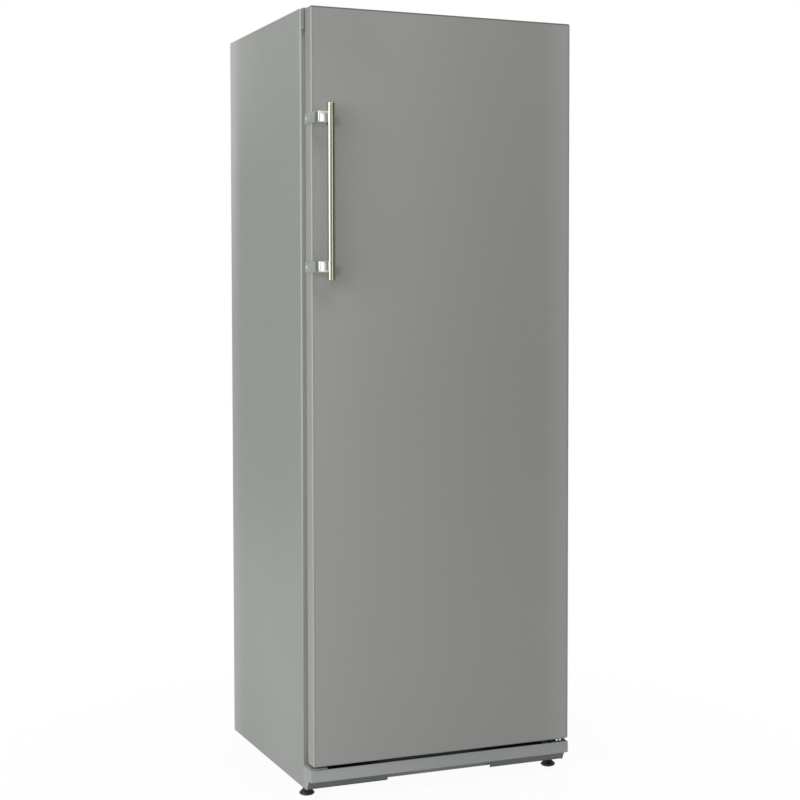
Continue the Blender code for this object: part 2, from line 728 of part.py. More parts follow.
def evaporator():
    """One path of tube: each shelf runs to and fro from one rear corner to the other, then turns
    down to where the next shelf starts"""
    front, rear = shelf_depths()
    half = OPENING_HALF - SHELF_SIDE_GAP
    pitch = 2 * half / (PASSES - 1)
    bend = pitch / 2
    wall = LINER_REAR - GAP
    for index in reversed(range(SHELVES)):
        side = -1 if (SHELVES - index) % 2 else 1
        level = shelf_level(index) + TUBE_FLAT
        points = [(side * half, wall if index == SHELVES - 1 else rear, level)]
        for turn in range(PASSES - 1):
            middle = side * (half - pitch * turn - bend)
            forward = turn % 2 == 0
            centre = front + bend if forward else rear - SHELF_BEND - bend
            for step in range(BEND_STEPS + 1):
                angle = math.pi * step / BEND_STEPS
                reach = bend * math.sin(angle)
                y = centre - reach if forward else centre + reach
                points.append((middle + side * bend * math.cos(angle), y, level))
        if index:
            corner = (-side * half, rear - TUBE_RADIUS, level)
            foot = (-side * half, rear - TUBE_RADIUS, shelf_level(index - 1) + 2 * TUBE_FLAT + GAP)
            points += rounded_route([points[-1], corner, foot], SHELF_BEND)[1:]
        else:
            points.append((-side * half, wall, level))
        tube(f"evaporator_shelf_{index + 1}", points, TUBE_RADIUS, "zinc")


def wire_grid(name, half, start, end, count, place, finish):
    """Wires laid side by side between two round rods. They run along X, and the rods along Y"""
    shape = bmesh.new()
    across = Matrix.Rotation(math.radians(90), 4, "Y")
    for index in range(count):
        y = start + (end - start) * (index + 0.5) / count
        bmesh.ops.create_cone(
            shape, cap_ends=True, segments=6, radius1=WIRE_RADIUS, radius2=WIRE_RADIUS,
            depth=2 * half - WELD, matrix=at(0, y, 0) @ across,
        )
    grid = from_bmesh(name, shape, finish, place)
    smooth(grid)
    for side in (-1, 1):
        rail = rod(f"{name}_rod", (side * half, start, 0), (side * half, end, 0), RIM_RADIUS, steps=8)
        rail.matrix_world = place @ rail.matrix_world
        join(grid, rail)
    return grid


def shelf_grids():
    front, rear = shelf_depths()
    half = OPENING_HALF - SHELF_SIDE_GAP
    for index in range(SHELVES):
        level = shelf_level(index) + 2 * TUBE_FLAT + GAP + RIM_RADIUS
        end = rear - SHELF_BEND - TUBE_RADIUS
        place = at(0, 0, level)
        grid = wire_grid(f"shelf_grid_{index + 1}", half, front, end, SHELF_WIRES, place, "zinc")
        plate_low = level - CLIP_SEAT
        top = plate_low + CLIP_PLATE
        wall = OPENING_HALF - GAP
        for side in (-1, 1):
            for share in (CLIP_INSET_SHARE, 1 - CLIP_INSET_SHARE):
                y = front + (end - front) * share - CLIP_LENGTH / 2
                inner, outer = sorted((side * (half + GAP), side * wall))
                plate = block("clip_plate", (inner, y, plate_low), (outer, y + CLIP_LENGTH, top))
                inner, outer = sorted((side * (wall - CLIP_LEG), side * wall))
                leg = block("clip_leg", (inner, y, top - CLIP_HEIGHT), (outer, y + CLIP_LENGTH, top))
                join(grid, join(plate, leg))


def control_fascia():
    front = DOOR_REAR + FASCIA_DOOR_GAP
    left = -(HALF - FASCIA_SIDE)
    right = HINGE_X - ARM_HALF_WIDTH - 2 * GAP
    rear = FRONT - GAP
    fascia = block(
        "control_fascia", (left, front, FASCIA_LOW), (right, rear, HEIGHT), "plastic",
        radius=FASCIA_ROUND,
    )
    wall = Vector.Fill(3, FASCIA_WALL)
    hollow_low = Vector((left, front, FASCIA_LOW)) + wall
    hollow_high = Vector((right, rear, HEIGHT)) - wall
    hollow_high.y = rear + OVERRUN
    cut(fascia, block("fascia_hollow", hollow_low, hollow_high))
    middle = (FASCIA_LOW + HEIGHT) / 2
    start, end = front - OVERRUN, front + FASCIA_WALL + OVERRUN
    cut(fascia, rod("knob_hole", (KNOB_PLACE, start, middle), (KNOB_PLACE, end, middle),
                    KNOB_RADIUS + KNOB_CLEARANCE, steps=24))
    wide = BUTTON_WIDTH / 2 + BUTTON_CLEARANCE
    tall = BUTTON_HEIGHT / 2 + BUTTON_CLEARANCE
    cut(fascia, block("button_hole", (BUTTON_PLACE - wide, start, middle - tall),
                      (BUTTON_PLACE + wide, end, middle + tall)))
    lamps = (("lamp_power", "green"), ("lamp_fast_freeze", "yellow"), ("lamp_alarm", "red"))
    for index, (name, colour) in enumerate(lamps):
        x = HALF - LAMP_INSET - (len(lamps) - 1 - index) * LAMP_PITCH
        cut(fascia, rod(f"{name}_hole", (x, start, middle), (x, end, middle), LAMP_RADIUS + GAP))
        crown_radius, crown_proud = LAMP_RADIUS * LAMP_CROWN_SHARE[0], LAMP_PROUD * LAMP_CROWN_SHARE[1]
        profile = [(0, LAMP_PROUD), (crown_radius, crown_proud), (LAMP_RADIUS, 0),
                   (LAMP_RADIUS, -LAMP_DEPTH), (0, -LAMP_DEPTH)]
        turned(name, profile, facing(x, front, middle, "-Y"), colour, steps=12)

    knob_front = front - KNOB_PROUD
    thermostat_front = rear - GAP - THERMOSTAT_DEPTH
    profile = [
        (0, 0),
        (KNOB_RADIUS - FASCIA_ROUND, 0),
        (KNOB_RADIUS, -FASCIA_ROUND),
        (KNOB_RADIUS, -KNOB_DEPTH),
        (KNOB_SHAFT_RADIUS, -KNOB_DEPTH),
        (KNOB_SHAFT_RADIUS, knob_front - thermostat_front + GAP),
        (0, knob_front - thermostat_front + GAP),
    ]
    knob = turned("thermostat_knob", profile, facing(KNOB_PLACE, knob_front, middle, "-Y"), "black")
    down, up = (KNOB_RADIUS * share for share in KNOB_SLOT_SHARES)
    slot = block(
        "knob_slot",
        (KNOB_PLACE - KNOB_SLOT / 2, knob_front - OVERRUN, middle - down),
        (KNOB_PLACE + KNOB_SLOT / 2, knob_front + KNOB_SLOT_DEPTH, middle + up),
    )
    cut(knob, slot)
    half = THERMOSTAT_SIZE / 2
    block("thermostat", (KNOB_PLACE - half, thermostat_front, middle - half),
          (KNOB_PLACE + half, thermostat_front + THERMOSTAT_DEPTH, middle + half), "black")
    knob_axis = empty("thermostat_axis", KNOB_PLACE, front, middle)
    hang(knob_axis, knob)

    button = block(
        "fast_freeze_button",
        (BUTTON_PLACE - BUTTON_WIDTH / 2, front - BUTTON_PROUD, middle - BUTTON_HEIGHT / 2),
        (BUTTON_PLACE + BUTTON_WIDTH / 2, front - BUTTON_PROUD + BUTTON_DEPTH, middle + BUTTON_HEIGHT / 2),
        "black", radius=FASCIA_ROUND / 2,
    )
    hang(empty("button_axis", BUTTON_PLACE, front, middle), button)


def plinth():
    low = BASE_HEIGHT + GAP
    band_low = PLINTH_TOP - PLINTH_BAND
    rear = FRONT - GAP
    step = PLINTH_FRONT + PLINTH_UNDERCUT
    outline = [
        (PLINTH_FRONT, PLINTH_TOP),
        (PLINTH_FRONT, band_low),
        (step, band_low),
        (step + PLINTH_SLOPE, low),
        (rear, low),
        (rear, PLINTH_TOP),
    ]
    body = prism("plinth", outline, -HALF, HALF, "plastic", axes="YZ")
    add_bevel(body, PLINTH_ROUND, segments=2, angle=PLINTH_EDGE_ANGLE)
    inner = []
    for y, z in inset_outline(outline, PLINTH_WALL):
        y = y if y < rear - 2 * PLINTH_WALL else rear + OVERRUN
        z = z if z > low + 2 * PLINTH_WALL else low - OVERRUN
        inner.append((y, z))
    half = HALF - PLINTH_WALL
    cut(body, prism("plinth_hollow", inner, -half, half, axes="YZ"))
    slot_half = HALF - PLINTH_CORNER
    slot_low = (-slot_half, PLINTH_FRONT + PLINTH_WALL, PLINTH_TOP - 2 * PLINTH_WALL)
    cut(body, block("plinth_slot", slot_low, (slot_half, rear + OVERRUN, PLINTH_TOP + OVERRUN)))
    notch_low = (-PLINTH_NOTCH / 2, PLINTH_FRONT + PLINTH_WALL, 0)
    cut(body, block("plinth_notch", notch_low, (PLINTH_NOTCH / 2, rear + OVERRUN, band_low + PLINTH_WALL)))
    plate_low = PLINTH_TOP + GAP
    block(
        "hinge_blanking_plate",
        (-(HALF - PLATE_EDGE), PLINTH_FRONT + PLATE_EDGE, plate_low),
        (-(HALF - PLATE_EDGE - BLANK_WIDTH), FRONT - GAP, plate_low + BRACKET_THICKNESS),
        "cabinet", radius=PLINTH_ROUND / 2,
    )


def top_hinge():
    arm_top = DOOR_TOP - ARM_DROP
    arm_low = arm_top - BRACKET_THICKNESS
    rear = FRONT - GAP
    left, right = HINGE_X - ARM_HALF_WIDTH, HINGE_X + ARM_HALF_WIDTH
    plate = rear - BRACKET_THICKNESS
    outline = [(HINGE_Y, arm_low), (plate, arm_low), (plate, FASCIA_LOW),
               (rear, FASCIA_LOW), (rear, arm_top), (HINGE_Y, arm_top)]
    bracket = prism("top_hinge_bracket", outline, left, right, "zinc", axes="YZ")
    spot = (HINGE_X, HINGE_Y)
    nose = rod("top_nose", (*spot, arm_low), (*spot, arm_top), ARM_HALF_WIDTH, steps=24)
    pin = rod("top_pin", (*spot, arm_low - TOP_PIN_LENGTH), (*spot, arm_top - WELD), PIN_RADIUS, steps=20)
    join(bracket, nose, pin)
    smooth(bracket)


def bottom_hinge():
    low = PLINTH_TOP + GAP
    top = low + BRACKET_THICKNESS
    rear = FRONT - GAP
    right = HALF - PLATE_EDGE
    left = right - BOTTOM_PLATE_WIDTH
    front = DOOR_FRONT + BOTTOM_PLATE_SETBACK
    outline = [(front, top), (front, low), (rear, low), (rear, low + BOTTOM_LEG_HEIGHT),
               (rear - BRACKET_THICKNESS, low + BOTTOM_LEG_HEIGHT), (rear - BRACKET_THICKNESS, top)]
    bracket = prism("bottom_hinge_bracket", outline, left, right, "zinc", axes="YZ")
    bush_low = DOOR_BOTTOM - GAP - BUSH_FLANGE
    spot = (HINGE_X, HINGE_Y)
    pin_top = DOOR_BOTTOM + BOTTOM_PIN_LENGTH
    pin = rod("bottom_pin", (*spot, top - WELD), (*spot, pin_top), PIN_RADIUS, steps=20)
    collar = rod("pin_collar", (*spot, top - WELD), (*spot, bush_low - GAP), COLLAR_RADIUS, steps=20)
    stud_spot = (HINGE_X - STUD_OFFSET, HINGE_Y)
    stud = rod("stop_stud", (*stud_spot, top - WELD), (*stud_spot, DOOR_BOTTOM - STUD_GAP), STUD_RADIUS)
    join(bracket, collar, pin, stud)
    smooth(bracket)


def door():
    low = (-DOOR_HALF, DOOR_FRONT, DOOR_BOTTOM)
    high = (DOOR_HALF, DOOR_REAR, DOOR_TOP)
    skin = pan("door_skin", low, high, "+Y", DOOR_LIP, SHEET, DOOR_CORNER_RADIUS, "door")
    skin.modifiers["round"].angle_limit = DOOR_EDGE_ANGLE
    notch_left = HINGE_X - ARM_HALF_WIDTH - ARM_CLEARANCE
    notch_front = DOOR_FRONT + NOTCH_RIM
    notch_floor = DOOR_TOP - ARM_DROP - BRACKET_THICKNESS - ARM_CLEARANCE
    notch_high = (HALF + OVERRUN, DOOR_REAR + OVERRUN, DOOR_TOP + OVERRUN)
    notch = block("arm_notch", (notch_left, notch_front, notch_floor), notch_high)
    bush_hole = rod("bush_hole", (HINGE_X, HINGE_Y, 0), (HINGE_X, HINGE_Y, DOOR_BOTTOM + OVERRUN),
                    BUSH_RADIUS + GAP, steps=20)
    cut(skin, notch, bush_hole)
    smooth(skin)

    inner = DOOR_HALF - SHEET - GAP
    insert = block(
        "top_hinge_insert",
        (notch_left - FOLD_RADIUS, DOOR_FRONT + SHEET + GAP, notch_floor - INSERT_DEPTH),
        (inner, DOOR_REAR - SHEET - GAP, notch_floor - GAP), "black", radius=DOOR_CORNER_RADIUS,
        segments=1,
    )
    bore = rod("insert_bore", (HINGE_X, HINGE_Y, notch_floor - INSERT_DEPTH - OVERRUN),
               (HINGE_X, HINGE_Y, DOOR_TOP), PIN_RADIUS + PIN_CLEARANCE, steps=20)
    cut(insert, bore)

    bush_top = DOOR_BOTTOM + BOTTOM_PIN_LENGTH + 2 * GAP
    shoulder = DOOR_BOTTOM - GAP
    bore_radius = PIN_RADIUS + PIN_CLEARANCE
    profile = [
        (bore_radius, bush_top - shoulder),
        (BUSH_RADIUS, bush_top - shoulder),
        (BUSH_RADIUS, 0),
        (BUSH_FLANGE_RADIUS, 0),
        (BUSH_FLANGE_RADIUS, -BUSH_FLANGE),
        (bore_radius, -BUSH_FLANGE),
        (bore_radius, bush_top - shoulder),
    ]
    bush = turned("bottom_hinge_bush", profile, at(HINGE_X, HINGE_Y, shoulder), "black", steps=20)

    foam = block(
        "door_foam", (-inner, DOOR_FRONT + SHEET + GAP, DOOR_BOTTOM + SHEET + GAP),
        (inner, DOOR_REAR - SHEET - GAP, DOOR_TOP - SHEET - GAP), "foam", radius=DOOR_CORNER_RADIUS,
        segments=1,
    )
    pocket_low = (notch_left - FOLD_RADIUS - GAP, DOOR_FRONT, notch_floor - INSERT_DEPTH - GAP)
    pocket = block("insert_pocket", pocket_low, (HALF, FRONT, HEIGHT))
    bush_pocket = rod("bush_pocket", (HINGE_X, HINGE_Y, 0), (HINGE_X, HINGE_Y, bush_top + GAP),
                      BUSH_RADIUS + GAP, steps=20)
    cut(foam, pocket, bush_pocket)

    flange_half = GASKET_HALF + DOOR_LINER_MARGIN
    seat = DOOR_REAR + GAP + DOOR_LINER_SHEET
    plug_half = OPENING_HALF - PLUG_CLEARANCE
    plug_low, plug_high = OPENING_LOW + PLUG_CLEARANCE, OPENING_HIGH - PLUG_CLEARANCE
    crest = seat + PLUG_RISE
    core_half = plug_half - DOOR_LINER_SHEET - GAP
    core_edge = DOOR_LINER_SHEET + GAP
    core_low = (-core_half, DOOR_REAR - SHEET - GAP - WELD, plug_low + core_edge)
    core_high = (core_half, crest - PLUG_RECESS - DOOR_LINER_SHEET - GAP, plug_high - core_edge)
    join(foam, block("foam_core", core_low, core_high))
    ridge = PLUG_RIDGE
    well = ridge + PLUG_SLOPE
    rings = [
        (flange_half, GASKET_LOW - DOOR_LINER_MARGIN, GASKET_HIGH + DOOR_LINER_MARGIN, seat),
        (plug_half + PLUG_SLOPE / 2, plug_low - PLUG_SLOPE / 2, plug_high + PLUG_SLOPE / 2, seat),
        (plug_half, plug_low, plug_high, crest),
        (plug_half - ridge, plug_low + ridge, plug_high - ridge, crest),
        (plug_half - well, plug_low + well, plug_high - well, crest - PLUG_RECESS),
    ]
    liner = framed_surface("door_liner", rings, "liner")
    add_bevel(liner, PLUG_RADIUS, segments=2, angle=PLUG_EDGE_ANGLE)
    add_wall(liner, DOOR_LINER_SHEET, 1)
    smooth(liner)

    gasket_front = seat + GAP
    gasket_rear = FRONT - GAP
    waist = (gasket_front + gasket_rear) / 2
    half_pinch = GASKET_PINCH / 2
    outer_side = [
        (GASKET_PINCH, gasket_front), (0, gasket_front + half_pinch), (GASKET_PINCH, waist),
        (0, gasket_rear - half_pinch), (half_pinch, gasket_rear),
    ]
    section = outer_side + [(GASKET_WIDTH - inset, y) for inset, y in reversed(outer_side)]
    rings = [(GASKET_HALF - inset, GASKET_LOW + inset, GASKET_HIGH - inset, y) for inset, y in section]
    gasket = framed_surface("door_gasket", rings, "rubber", closed=True)

    pieces = [skin, insert, bush, foam, liner, gasket, *handle()]
    hang(empty("door_axis", HINGE_X, HINGE_Y, DOOR_BOTTOM), *pieces)


def handle():
    bar_x, bar_y = -(HALF - BAR_INSET), DOOR_FRONT - BAR_STANDOFF
    bar_top = DOOR_TOP - BAR_TOP_DROP
    flat = BAR_RADIUS - BAR_CHAMFER
    profile = [
        (0, 0), (flat, 0), (BAR_RADIUS, -BAR_CHAMFER), (BAR_RADIUS, BAR_CHAMFER - BAR_LENGTH),
        (flat, -BAR_LENGTH), (0, -BAR_LENGTH),
    ]
    pieces = [turned("handle_bar", profile, at(bar_x, bar_y, bar_top), "steel", steps=32)]
    side_x = -(DOOR_HALF + GAP)
    bend = (side_x, DOOR_FRONT - STRAP_REACH)
    outline = [(side_x, DOOR_FRONT + STRAP_SIDE_LENGTH), bend, (bar_x, bar_y + STRAP_THICKNESS)]
    middle = bar_top - BAR_LENGTH / 2
    for name, sign in (("handle_strap_upper", 1), ("handle_strap_lower", -1)):
        level = middle + sign * STRAP_SPACING / 2
        strap = sheet_strip(name, outline, level - STRAP_HEIGHT / 2, level + STRAP_HEIGHT / 2,
                            STRAP_THICKNESS, -1, "chrome", radius=STRAP_BEND)
        strap.modifiers["round"].segments = STRAP_STEPS
        screw_y = DOOR_FRONT + STRAP_SCREW_SETBACK
        face = side_x - STRAP_THICKNESS
        head = rod(f"{name}_screw", (face - STRAP_SCREW_HEAD, screw_y, level),
                   (face + WELD, screw_y, level), STRAP_SCREW_RADIUS, steps=14)
        ends = [(bar_x, bar_y, level - STRAP_HEIGHT), (bar_x, bar_y, level + STRAP_HEIGHT)]
        seat = rod(f"{name}_seat", *ends, BAR_RADIUS + GAP, steps=32)
        cut(join(strap, head), seat)
        pieces.append(smooth(strap))
    return pieces


def feet():
    top = BASE_HEIGHT - GAP
    for name, (x, y) in zip(("left_front_foot", "right_front_foot"), foot_places()):
        dome = [(FOOT_RADIUS * r, top * h) for r, h in FOOT_SHARES]
        stem_top = top + STEM_LENGTH
        profile = [(0, stem_top), (STEM_RADIUS, stem_top), (STEM_RADIUS, top), *dome, (0, 0)]
        foot = turned(name, profile, at(x, y, 0), "black", steps=20)
        hang(empty(f"{name}_axis", x, y, 0), foot)


def rollers():
    y = BACK - ROLLER_FROM_BACK
    roof = BASE_HEIGHT - GAP
    half = ROLLER_WIDTH / 2 + ROLLER_SIDE_GAP
    for name, side in (("left", -1), ("right", 1)):
        x = side * (HALF - ROLLER_SIDE)
        outer = half + BASE_SHEET
        outline = [(CHEEK_DROP, x - outer), (roof, x - outer), (roof, x + outer), (CHEEK_DROP, x + outer)]
        bracket = sheet_strip(
            f"{name}_roller_bracket", outline, y - CHEEK_LENGTH / 2, y + CHEEK_LENGTH / 2,
            BASE_SHEET, 1, "zinc", axes="ZX", radius=0,
        )
        axle_reach = outer + WELD
        ends = [(x - axle_reach, y, ROLLER_RADIUS), (x + axle_reach, y, ROLLER_RADIUS)]
        axle = rod(f"{name}_axle", *ends, ROLLER_AXLE_RADIUS)
        join(bracket, axle)
        smooth(bracket)
        bore = ROLLER_AXLE_RADIUS + ROLLER_BORE_CLEARANCE
        edge = ROLLER_WIDTH / 2
        tread = ROLLER_RADIUS - ROLLER_CHAMFER
        profile = [
            (bore, edge), (tread, edge), (ROLLER_RADIUS, edge - ROLLER_CHAMFER),
            (ROLLER_RADIUS, ROLLER_CHAMFER - edge), (tread, -edge), (bore, -edge), (bore, edge),
        ]
        roller = turned(f"{name}_rear_roller", profile, facing(x, y, ROLLER_RADIUS, "+X"), "black")
        hang(empty(f"{name}_roller_axis", x, y, ROLLER_RADIUS), roller)


def compressor():
    floor = BASE_HEIGHT + BASE_SHEET + GAP
    x, y = -COMPRESSOR_PLACE, (NICHE_FRONT + BACK) / 2
    deck = floor + COMPRESSOR_FOOT_HEIGHT
    bottom = deck + COMPRESSOR_BASE
    radius = COMPRESSOR_RADIUS - SEAM_LIP
    profile = [(radius * r, COMPRESSOR_HEIGHT * h) for r, h in DOME_SHARES]
    level = COMPRESSOR_HEIGHT * SEAM_SHARE
    profile += [
        (radius, level + SEAM_THICKNESS / 2), (radius + SEAM_LIP, level + SEAM_THICKNESS / 2),
        (radius + SEAM_LIP, level - SEAM_THICKNESS / 2), (radius, level - SEAM_THICKNESS / 2),
    ]
    profile += [(radius * r, COMPRESSOR_HEIGHT * h) for r, h in LOWER_SHARES]
    profile += [(0, -COMPRESSOR_BASE / 2)]
    stretch = Matrix.Diagonal((COMPRESSOR_OVAL_SHARE, 1, 1, 1))
    shell = turned("compressor", profile, at(x, y, bottom) @ stretch, "enamel", steps=24)
    half_x, half_y = COMPRESSOR_BASE_LENGTH / 2, COMPRESSOR_BASE_WIDTH / 2
    base = block("compressor_base", (x - half_x, y - half_y, deck), (x + half_x, y + half_y, bottom))
    join(shell, base)
    for sx in (-1, 1):
        for sy in (-1, 1):
            fx = x + sx * (half_x - COMPRESSOR_FOOT_INSET)
            fy = y + sy * (half_y - COMPRESSOR_FOOT_INSET)
            join(shell, rod(f"mount_{sx}_{sy}", (fx, fy, floor), (fx, fy, bottom + COMPRESSOR_BASE),
                            COMPRESSOR_FOOT_RADIUS, steps=12))
    box_x = x + COMPRESSOR_OVAL_SHARE * radius + GAP
    box_low = bottom + COMPRESSOR_BASE
    seat_low = (x, y - TERMINAL_SEAT / 2, box_low + BOX_RADIUS)
    seat_high = (box_x - GAP, y + TERMINAL_SEAT / 2, box_low + BOX_HEIGHT - BOX_RADIUS)
    join(shell, block("terminal_seat", seat_low, seat_high))
    box_high = (box_x + BOX_DEPTH, y + BOX_WIDTH / 2, box_low + BOX_HEIGHT)
    block("terminal_box", (box_x, y - BOX_WIDTH / 2, box_low), box_high, "black", radius=BOX_RADIUS)
    gland_y = y + BOX_WIDTH / 2 + GAP
    gland_x, gland_z = box_x + BOX_DEPTH / 2, box_low + BOX_HEIGHT / 2
    neck = GLAND_RADIUS * GLAND_NECK_SHARE
    gland = [
        (GLAND_BORE, GLAND_LENGTH), (neck, GLAND_LENGTH), (GLAND_RADIUS, GLAND_LENGTH / 2),
        (GLAND_RADIUS, 0), (GLAND_BORE, 0), (GLAND_BORE, GLAND_LENGTH),
    ]
    turned("cable_gland", gland, facing(gland_x, gland_y, gland_z, "+Y"), "black", steps=16)
    return x, y, bottom


def condenser():
    """The coil stands off the back panel in two folded clips, with its wires laid on its rear"""
    coil_y = BACK + CONDENSER_STANDOFF + CONDENSER_TUBE_RADIUS
    high = HEIGHT - CONDENSER_TOP_DROP
    pitch = (high - CONDENSER_LOW) / (CONDENSER_PASSES - 1)
    bend = pitch / 2
    half = CONDENSER_WIDTH / 2 - bend
    points = [(-half, coil_y, high)]
    for turn in range(CONDENSER_PASSES - 1):
        middle = high - pitch * turn - bend
        side = 1 if turn % 2 == 0 else -1
        for step in range(BEND_STEPS + 1):
            angle = math.pi * step / BEND_STEPS
            x = side * (half + bend * math.sin(angle))
            points.append((x, coil_y, middle + bend * math.cos(angle)))
    corner = (-half - LINE_BEND, coil_y, CONDENSER_LOW)
    drop = (-half - LINE_BEND, coil_y, CONDENSER_LOW - 2 * LINE_BEND)
    points += rounded_route([points[-1], corner, drop], LINE_BEND)[1:]
    tube("condenser_coil", points, CONDENSER_TUBE_RADIUS, "enamel")

    wires_y = coil_y + CONDENSER_TUBE_RADIUS + GAP + WIRE_RADIUS
    reach = (high - CONDENSER_LOW) / 2 + CONDENSER_OVERHANG
    place = at(0, wires_y, (high + CONDENSER_LOW) / 2) @ AXES["ZX"]
    wire_grid("condenser_wires", reach, -half, half, CONDENSER_WIRES, place, "enamel")

    levels = (("condenser_bracket_upper", high - bend), ("condenser_bracket_lower", CONDENSER_LOW + bend))
    for name, level in levels:
        foot_y = BACK + GAP
        clip_y = BACK + CONDENSER_STANDOFF - GAP
        outline = [
            (foot_y, level + 2 * CLIP_FOOT), (foot_y, level + CLIP_FOOT), (clip_y, level + CLIP_FOOT),
            (clip_y, level - CLIP_FOOT), (foot_y, level - CLIP_FOOT), (foot_y, level - 2 * CLIP_FOOT),
        ]
        sheet_strip(name, outline, -half, half, CLIP_SHEET, 1, "zinc", axes="YZ", radius=0)
    return points[0], drop


def refrigerant_lines(compressor_spot, coil_ends):
    x, y, bottom = compressor_spot
    inlet, outlet = coil_ends
    coil_y = inlet[1]
    radius = COMPRESSOR_RADIUS - SEAM_LIP
    side_share, low_share = DOME_SHARES[-1]
    start = (x, y + radius * side_share + LINE_SEAT, bottom + COMPRESSOR_HEIGHT * low_share)
    rise_x = -CONDENSER_WIDTH / 2 - LINE_BEND
    route = [
        start, (x, coil_y, start[2]), (rise_x, coil_y, start[2]), (rise_x, coil_y, inlet[2]),
        (inlet[0] - GAP, coil_y, inlet[2]),
    ]
    tube("discharge_line", rounded_route(route, LINE_BEND), LINE_RADIUS, "copper")

    top_share, high_share = DOME_SHARES[-2]
    start = (x, y + radius * top_share + LINE_SEAT, bottom + COMPRESSOR_HEIGHT * high_share)
    turn_y = start[1] + SUCTION_REACH
    route = [start, (x, turn_y, start[2]), (x, turn_y, NICHE_TOP - BASE_SHEET - GAP)]
    tube("suction_line", rounded_route(route, LINE_BEND), LINE_RADIUS, "copper")

    neck = CONDENSER_TUBE_RADIUS
    profile = [
        (0, 0), (neck, 0), (neck, -DRIER_RADIUS), (DRIER_RADIUS, -2 * DRIER_RADIUS),
        (DRIER_RADIUS, 2 * DRIER_RADIUS - DRIER_LENGTH), (neck, DRIER_RADIUS - DRIER_LENGTH),
        (neck, -DRIER_LENGTH), (0, -DRIER_LENGTH),
    ]
    turned("filter_drier", profile, at(outlet[0], coil_y, outlet[2] - GAP), "copper", steps=16)


side_panels()
top_panel()
flat_panels()
base_pan()
compressor_plate()
niche_panel()
inner_liner()
cabinet_foam()
evaporator()
shelf_grids()
control_fascia()
plinth()
top_hinge()
bottom_hinge()
door()
feet()
rollers()
refrigerant_lines(compressor(), condenser())
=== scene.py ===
"""The finishes, fine pieces, light and camera of a commercial upright freezer.

Metres, +Z up. The door faces -Y, its handle is on the left and its hinges are on the right. Every
object sits at the origin with its place in its mesh, so a pattern on Object coordinates lies in the
same frame as the CAD.
"""

import json
import math

import bmesh
import bpy
from mathutils import Matrix, Vector


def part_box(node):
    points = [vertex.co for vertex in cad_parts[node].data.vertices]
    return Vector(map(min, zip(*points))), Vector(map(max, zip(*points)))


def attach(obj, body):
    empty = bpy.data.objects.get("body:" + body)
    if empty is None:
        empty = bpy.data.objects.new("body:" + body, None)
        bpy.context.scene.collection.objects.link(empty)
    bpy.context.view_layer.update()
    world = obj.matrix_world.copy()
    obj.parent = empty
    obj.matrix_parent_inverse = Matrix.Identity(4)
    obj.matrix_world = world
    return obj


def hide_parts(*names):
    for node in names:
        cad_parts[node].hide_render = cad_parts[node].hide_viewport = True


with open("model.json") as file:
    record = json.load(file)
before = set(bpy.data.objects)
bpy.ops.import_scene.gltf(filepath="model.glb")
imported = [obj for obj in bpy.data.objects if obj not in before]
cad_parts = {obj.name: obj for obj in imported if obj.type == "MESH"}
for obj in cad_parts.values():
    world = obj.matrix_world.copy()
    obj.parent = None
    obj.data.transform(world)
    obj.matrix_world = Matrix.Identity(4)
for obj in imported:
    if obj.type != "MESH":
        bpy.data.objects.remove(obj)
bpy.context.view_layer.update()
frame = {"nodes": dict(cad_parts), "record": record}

SCENE = bpy.context.scene
MM = 0.001
STRAPS = ("handle_strap_upper", "handle_strap_lower")


class Value:
    """One socket of a node tree, with its maths written as Python"""

    def __init__(self, graph, socket):
        self.graph = graph
        self.socket = socket

    def maths(self, operation, *values):
        return self.graph.node("ShaderNodeMath", {"operation": operation}, values)

    def __add__(self, other):
        return self.maths("ADD", self, other)

    __radd__ = __add__

    def __sub__(self, other):
        return self.maths("SUBTRACT", self, other)

    def __rsub__(self, other):
        return self.maths("SUBTRACT", other, self)

    def __mul__(self, other):
        return self.maths("MULTIPLY", self, other)

    __rmul__ = __mul__

    def __abs__(self):
        return self.maths("ABSOLUTE", self)

    def larger(self, other):
        return self.maths("MAXIMUM", self, other)

    def rise(self, low, high):
        """0 below low and 1 above high, with a smooth ramp between; high may be the lower one"""
        if low > high:
            return 1 - self.rise(high, low)
        inputs = {"Value": self, "From Min": low, "From Max": high}
        return self.graph.node("ShaderNodeMapRange", {"interpolation_type": "SMOOTHSTEP"}, inputs)

    def past(self, edge, low, high):
        """The same ramp with low and high given in millimetres from an edge"""
        return self.rise(edge + low * MM, edge + high * MM)


